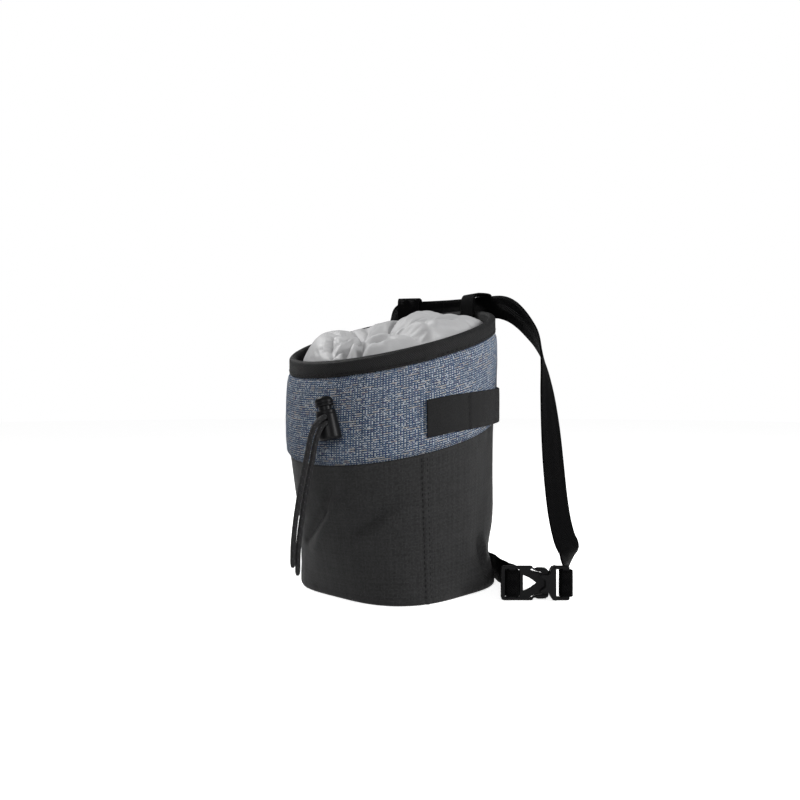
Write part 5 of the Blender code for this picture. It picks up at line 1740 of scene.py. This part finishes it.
class CHALKBAG_OT_buckle(bpy.types.Operator):
    """Build both halves of the side-release buckle"""
    bl_idname = "chalk_bag.buckle"
    bl_label = "Side-release Buckle"

    def execute(self, context):
        self.ladder_half()
        self.socket_half()
        return {"FINISHED"}

    def ladder_half(self):
        """Ladder lock with its struts and the two press lobes."""
        half = buckle_width() / 2
        slot = (WEBBING_WIDTH + SLOT_SPARE) / 2
        left = LADDER_BAR - BAR_WIDTH / 2 - LADDER_SLOT - LADDER_RAIL
        first = LADDER_BAR - BAR_WIDTH / 2
        second = LADDER_BAR + BAR_WIDTH / 2
        arm = second + LADDER_SLOT + LADDER_RAIL * 0.8
        tip = PRONG_END
        rest = tip - arm
        side = half * 0.88
        root = half * 0.44
        outer = mirrored((
            (left, half * 0.80), (left + half * 0.05, half * 0.95), (left + half * 0.18, half),
            (arm + rest * 0.30, half), (arm + rest * 0.36, half * 0.985), (arm + rest * 0.42, side * 0.93),
            (arm + rest * 0.47, side * 0.97), (arm + rest * 0.54, side * 1.02), (tip - rest * 0.28, side * 1.02),
            (tip - rest * 0.10, side * 0.95), (tip, side * 0.80), (tip, root * 0.5),
        ))
        window = rounded_outline([(arm, half * 0.47), (arm, half * 0.47), (arm + rest * 0.25, half * 0.30),
                                  (arm + rest * 0.53, 0.0), (arm + rest * 0.53, 0.0),
                                  (arm + rest * 0.25, -half * 0.30), (arm, -half * 0.47), (arm, -half * 0.47)])
        slits = []
        for sign in (1, -1):
            slits.append(rounded_outline([(arm + rest * share, sign * half * up) for share, up in (
                (0.30, 0.76), (0.50, 0.66), (0.72, 0.60), (0.74, 0.66), (0.52, 0.74), (0.34, 0.83))]))
        plate = rounded_plate("ladder_half", [
            outer, box_outline(first - LADDER_SLOT * 0.86, first, slot),
            box_outline(second, second + LADDER_SLOT * 0.86, slot),
            window, *slits], PRONG_THICKNESS, 0.55 * MM)
        meshes = [upright(plate)]
        for sign in (1, -1):
            lobe = rounded_outline([(arm + rest * share, sign * half * up) for share, up in (
                (0.45, 0.74), (0.50, 0.84), (0.62, 0.885), (0.80, 0.87), (0.94, 0.80), (0.97, 0.70), (0.90, 0.64),
                (0.70, 0.66))])
            pad = rounded_plate("press_lobe", [lobe], PRONG_THICKNESS + 1.8 * MM, 0.6 * MM)
            meshes.append(upright(pad))
            for rib in range(4):
                start = arm + rest * (0.56 + 0.09 * rib)
                ridge = rounded_plate("press_rib", [box_outline(start, start + 0.5 * MM, 0.9 * MM)],
                                      PRONG_THICKNESS + 2.2 * MM, 0.15 * MM)
                ridge.transform(Matrix.Translation((0.0, sign * half * 0.78, 0.0)))
                meshes.append(upright(ridge))
        add_piece("buckle_ladder_half", joined("buckle_ladder_half", meshes), "plastic", "buckle_male")

    def socket_half(self):
        """Socket with its side windows, and the bar that the belt is sewn round."""
        half = buckle_width() / 2
        slot = (WEBBING_WIDTH + SLOT_SPARE) / 2
        shoulder = PRONG_END + GAP * 2
        right = SOCKET_BAR + BAR_WIDTH / 2
        body = SOCKET_BAR - BAR_WIDTH / 2 - SOCKET_SLOT
        shell = mirrored((
            (SOCKET_MOUTH + half * 0.34, half * 0.18), (SOCKET_MOUTH + half * 0.05, half * 0.38),
            (SOCKET_MOUTH, half * 0.50), (shoulder - half * 0.12, half * 0.52), (shoulder - half * 0.02, half * 0.60),
            (shoulder + half * 0.04, half * 0.80), (shoulder + half * 0.14, half * 0.94), (body, half * 0.985),
        ))
        meshes = []
        leaf = (SOCKET_THICKNESS - PRONG_THICKNESS) / 2 - GAP
        for sign in (1, -1):
            plate = rounded_plate("socket_shell", [shell], leaf, leaf * 0.42)
            plate.transform(Matrix.Translation((0.0, 0.0, sign * (SOCKET_THICKNESS - leaf) / 2)))
            meshes.append(upright(plate))
        block = mirrored(((shoulder + half * 0.06, half * 0.82), (shoulder + half * 0.18, half * 0.95),
                          (body, half)))
        meshes.append(upright(rounded_plate("socket_block", [block], SOCKET_THICKNESS * 0.97, 0.7 * MM)))
        inside = slot * 0.99
        rail = [(body - 1.0 * MM, inside), (right - half * 0.12, inside), (right, inside), (right, half * 0.92),
                (right - half * 0.04, half * 0.985), (right - half * 0.12, half), (body - 1.0 * MM, half)]
        frame_bars = [rail, [(along, -up) for along, up in reversed(rail)],
                      box_outline(SOCKET_BAR - BAR_WIDTH / 2, right, inside + 1.0 * MM)]
        for outline in frame_bars:
            meshes.append(upright(rounded_plate("socket_bar", [outline], BAR_THICKNESS, 0.45 * MM)))
        add_piece("buckle_socket_half", joined("buckle_socket_half", meshes), "plastic", "buckle_female")


def turned(name, profile):
    """Mesh turned round +Z from a profile of radius and height."""
    grid = [[Vector((radius * cos_deg(turn), radius * sin_deg(turn), up)) for turn in turns(TURNED_STEPS)]
            for radius, up in profile]
    lengths = run_lengths([Vector(spot) for spot in profile])
    mesh = skin(name, grid, lambda row, column: (column * 0.6, lengths[row] / MM), True)
    return reworked(mesh, weld, 0.005 * MM)


def bored(thing, width, low, high, deep):
    """Cut the cord's slot with round ends through along Y."""
    radius = width / 2
    outline = [(radius * cos_deg(turn), high - radius + radius * sin_deg(turn)) for turn in range(0, 181, 12)]
    outline += [(radius * cos_deg(turn), low + radius + radius * sin_deg(turn)) for turn in range(180, 361, 12)]
    tool_mesh = rounded_plate("cord_slot", [outline], 2 * deep, 0.0)
    tool_mesh.transform(Matrix.Rotation(math.radians(90.0), 4, "X"))
    reworked(tool_mesh, weld, 0.001 * MM)
    tool = bpy.data.objects.new("cord_slot", tool_mesh)
    bpy.context.scene.collection.objects.link(tool)
    cut = thing.modifiers.new("cord_slot", "BOOLEAN")
    cut.operation = "DIFFERENCE"
    cut.solver = "EXACT"
    cut.object = tool
    mesh = solid_from(thing, thing.name)
    thing.modifiers.clear()
    thing.data = mesh
    bpy.data.objects.remove(tool, do_unlink=True)
    mesh.shade_smooth()
    mesh.set_sharp_from_angle(angle=math.radians(35.0))


class CHALKBAG_OT_cord_lock(bpy.types.Operator):
    """Build the cord lock's barrel and its spring button"""
    bl_idname = "chalk_bag.cord_lock"
    bl_label = "Cord Lock"

    def execute(self, context):
        place = lock_place()
        bore = SHAFT_RADIUS + GAP
        width = CORD_DIAMETER + 2 * GAP
        tall = (CORD_SPREAD + width) / 2
        foot = -BARREL_FOOT
        top = BARREL_TOP_RADIUS
        low = BARREL_FOOT_RADIUS
        profile = [(bore, foot + BARREL_FLOOR), (bore, BARREL_TOP - 0.3 * MM), (bore + 0.3 * MM, BARREL_TOP)]
        edge = BARREL_EDGE
        profile += [(top - edge + edge * sin_deg(turn), BARREL_TOP - edge + edge * cos_deg(turn))
                    for turn in range(0, 91, 15)]
        profile += [(top * 0.975, BARREL_TOP - 1.3 * MM), (top * 0.975, BARREL_TOP - 1.7 * MM),
                    (top * 1.005, BARREL_TOP - BARREL_COLLAR)]
        profile += [(mix(top, low, share), mix(BARREL_TOP - BARREL_COLLAR, foot + 1.5 * MM, share))
                    for share in (0.1, 0.3, 0.5, 0.7, 0.9, 1.0)]
        edge = BARREL_FOOT_EDGE
        profile += [(low - edge + edge * cos_deg(turn), foot + edge - edge * sin_deg(turn))
                    for turn in range(10, 91, 16)]
        profile += [(low - 2.6 * MM, foot), (low - 3.0 * MM, foot + 0.25 * MM), (0.0, foot + 0.25 * MM)]
        mesh = turned("cord_lock_barrel_moulded", profile)
        barrel = add_piece("cord_lock_barrel_moulded", mesh, "plastic", "cord_lock_barrel")
        bored(barrel, width, -tall, tall, 2 * low)
        barrel.data.transform(place)
        head = BARREL_TOP + BUTTON_TRAVEL + GAP
        crown = head + BUTTON_HEAD
        reach = foot + BARREL_FLOOR + BUTTON_TRAVEL + 2 * GAP
        radius = BUTTON_RADIUS
        profile = [(0.0, reach), (SHAFT_RADIUS, reach), (SHAFT_RADIUS, head), (radius * 0.90, head),
                   (radius * 0.97, head + 0.15 * MM), (radius, head + 0.5 * MM), (radius, head + 1.0 * MM),
                   (radius * 0.97, head + 1.25 * MM), (radius * 0.90, head + 1.4 * MM),
                   (radius * 0.90, head + 1.7 * MM), (radius * 0.965, head + 1.95 * MM),
                   (radius * 0.985, head + BUTTON_CAP)]
        dome = crown - head - BUTTON_CAP
        profile += [(radius * 0.985 * cos_deg(turn) ** 0.55, head + BUTTON_CAP + dome * sin_deg(turn))
                    for turn in range(8, 90, 8)]
        profile.append((0.0, crown))
        mesh = turned("cord_lock_button_moulded", profile)
        button = add_piece("cord_lock_button_moulded", mesh, "plastic", "cord_lock_button", body="button")
        bored(button, width, -tall, tall + BUTTON_TRAVEL, 2 * SHAFT_RADIUS)
        button.data.transform(place)
        return {"FINISHED"}


# ---------------------------------------------------------------- panel and running

OPERATORS = (
    CHALKBAG_OT_stage, CHALKBAG_OT_drawcord, CHALKBAG_OT_lower_body, CHALKBAG_OT_upper_band,
    CHALKBAG_OT_rim_binding, CHALKBAG_OT_collar, CHALKBAG_OT_brush_strip, CHALKBAG_OT_belt_loops,
    CHALKBAG_OT_waist_belt, CHALKBAG_OT_buckle, CHALKBAG_OT_cord_lock,
)


class CHALKBAG_PT_panel(bpy.types.Panel):
    """Sizes, colours and pieces of the chalk bag"""
    bl_idname = "CHALKBAG_PT_panel"
    bl_label = "Chalk Bag"
    bl_space_type = "VIEW_3D"
    bl_region_type = "UI"
    bl_category = "Chalk Bag"

    def draw(self, context):
        for group in (context.scene.chalk_bag_sizes, context.scene.chalk_bag_colours, context.scene.chalk_bag_stage):
            box = self.layout.box()
            for name in group.__annotations__:
                box.prop(group, name)
        for operator in OPERATORS:
            self.layout.operator(operator.bl_idname)


CLASSES = (ChalkBagSizes, ChalkBagColours, ChalkBagStage, *OPERATORS, CHALKBAG_PT_panel)


def register():
    """Register the classes and the scene's own settings."""
    for kind in CLASSES:
        bpy.utils.register_class(kind)
    bpy.types.Scene.chalk_bag_sizes = PointerProperty(type=ChalkBagSizes)
    bpy.types.Scene.chalk_bag_colours = PointerProperty(type=ChalkBagColours)
    bpy.types.Scene.chalk_bag_stage = PointerProperty(type=ChalkBagStage)


def unregister():
    """Take the settings and the classes away again."""
    del bpy.types.Scene.chalk_bag_stage
    del bpy.types.Scene.chalk_bag_colours
    del bpy.types.Scene.chalk_bag_sizes
    for kind in reversed(CLASSES):
        bpy.utils.unregister_class(kind)


def main():
    """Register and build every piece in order."""
    register()
    bpy.ops.chalk_bag.stage()
    bpy.ops.chalk_bag.drawcord()
    bpy.ops.chalk_bag.lower_body()
    bpy.ops.chalk_bag.upper_band()
    bpy.ops.chalk_bag.rim_binding()
    bpy.ops.chalk_bag.collar()
    bpy.ops.chalk_bag.brush_strip()
    bpy.ops.chalk_bag.belt_loops()
    bpy.ops.chalk_bag.waist_belt()
    bpy.ops.chalk_bag.buckle()
    bpy.ops.chalk_bag.cord_lock()
    bpy.context.view_layer.update()


if __name__ == "__main__":
    main()
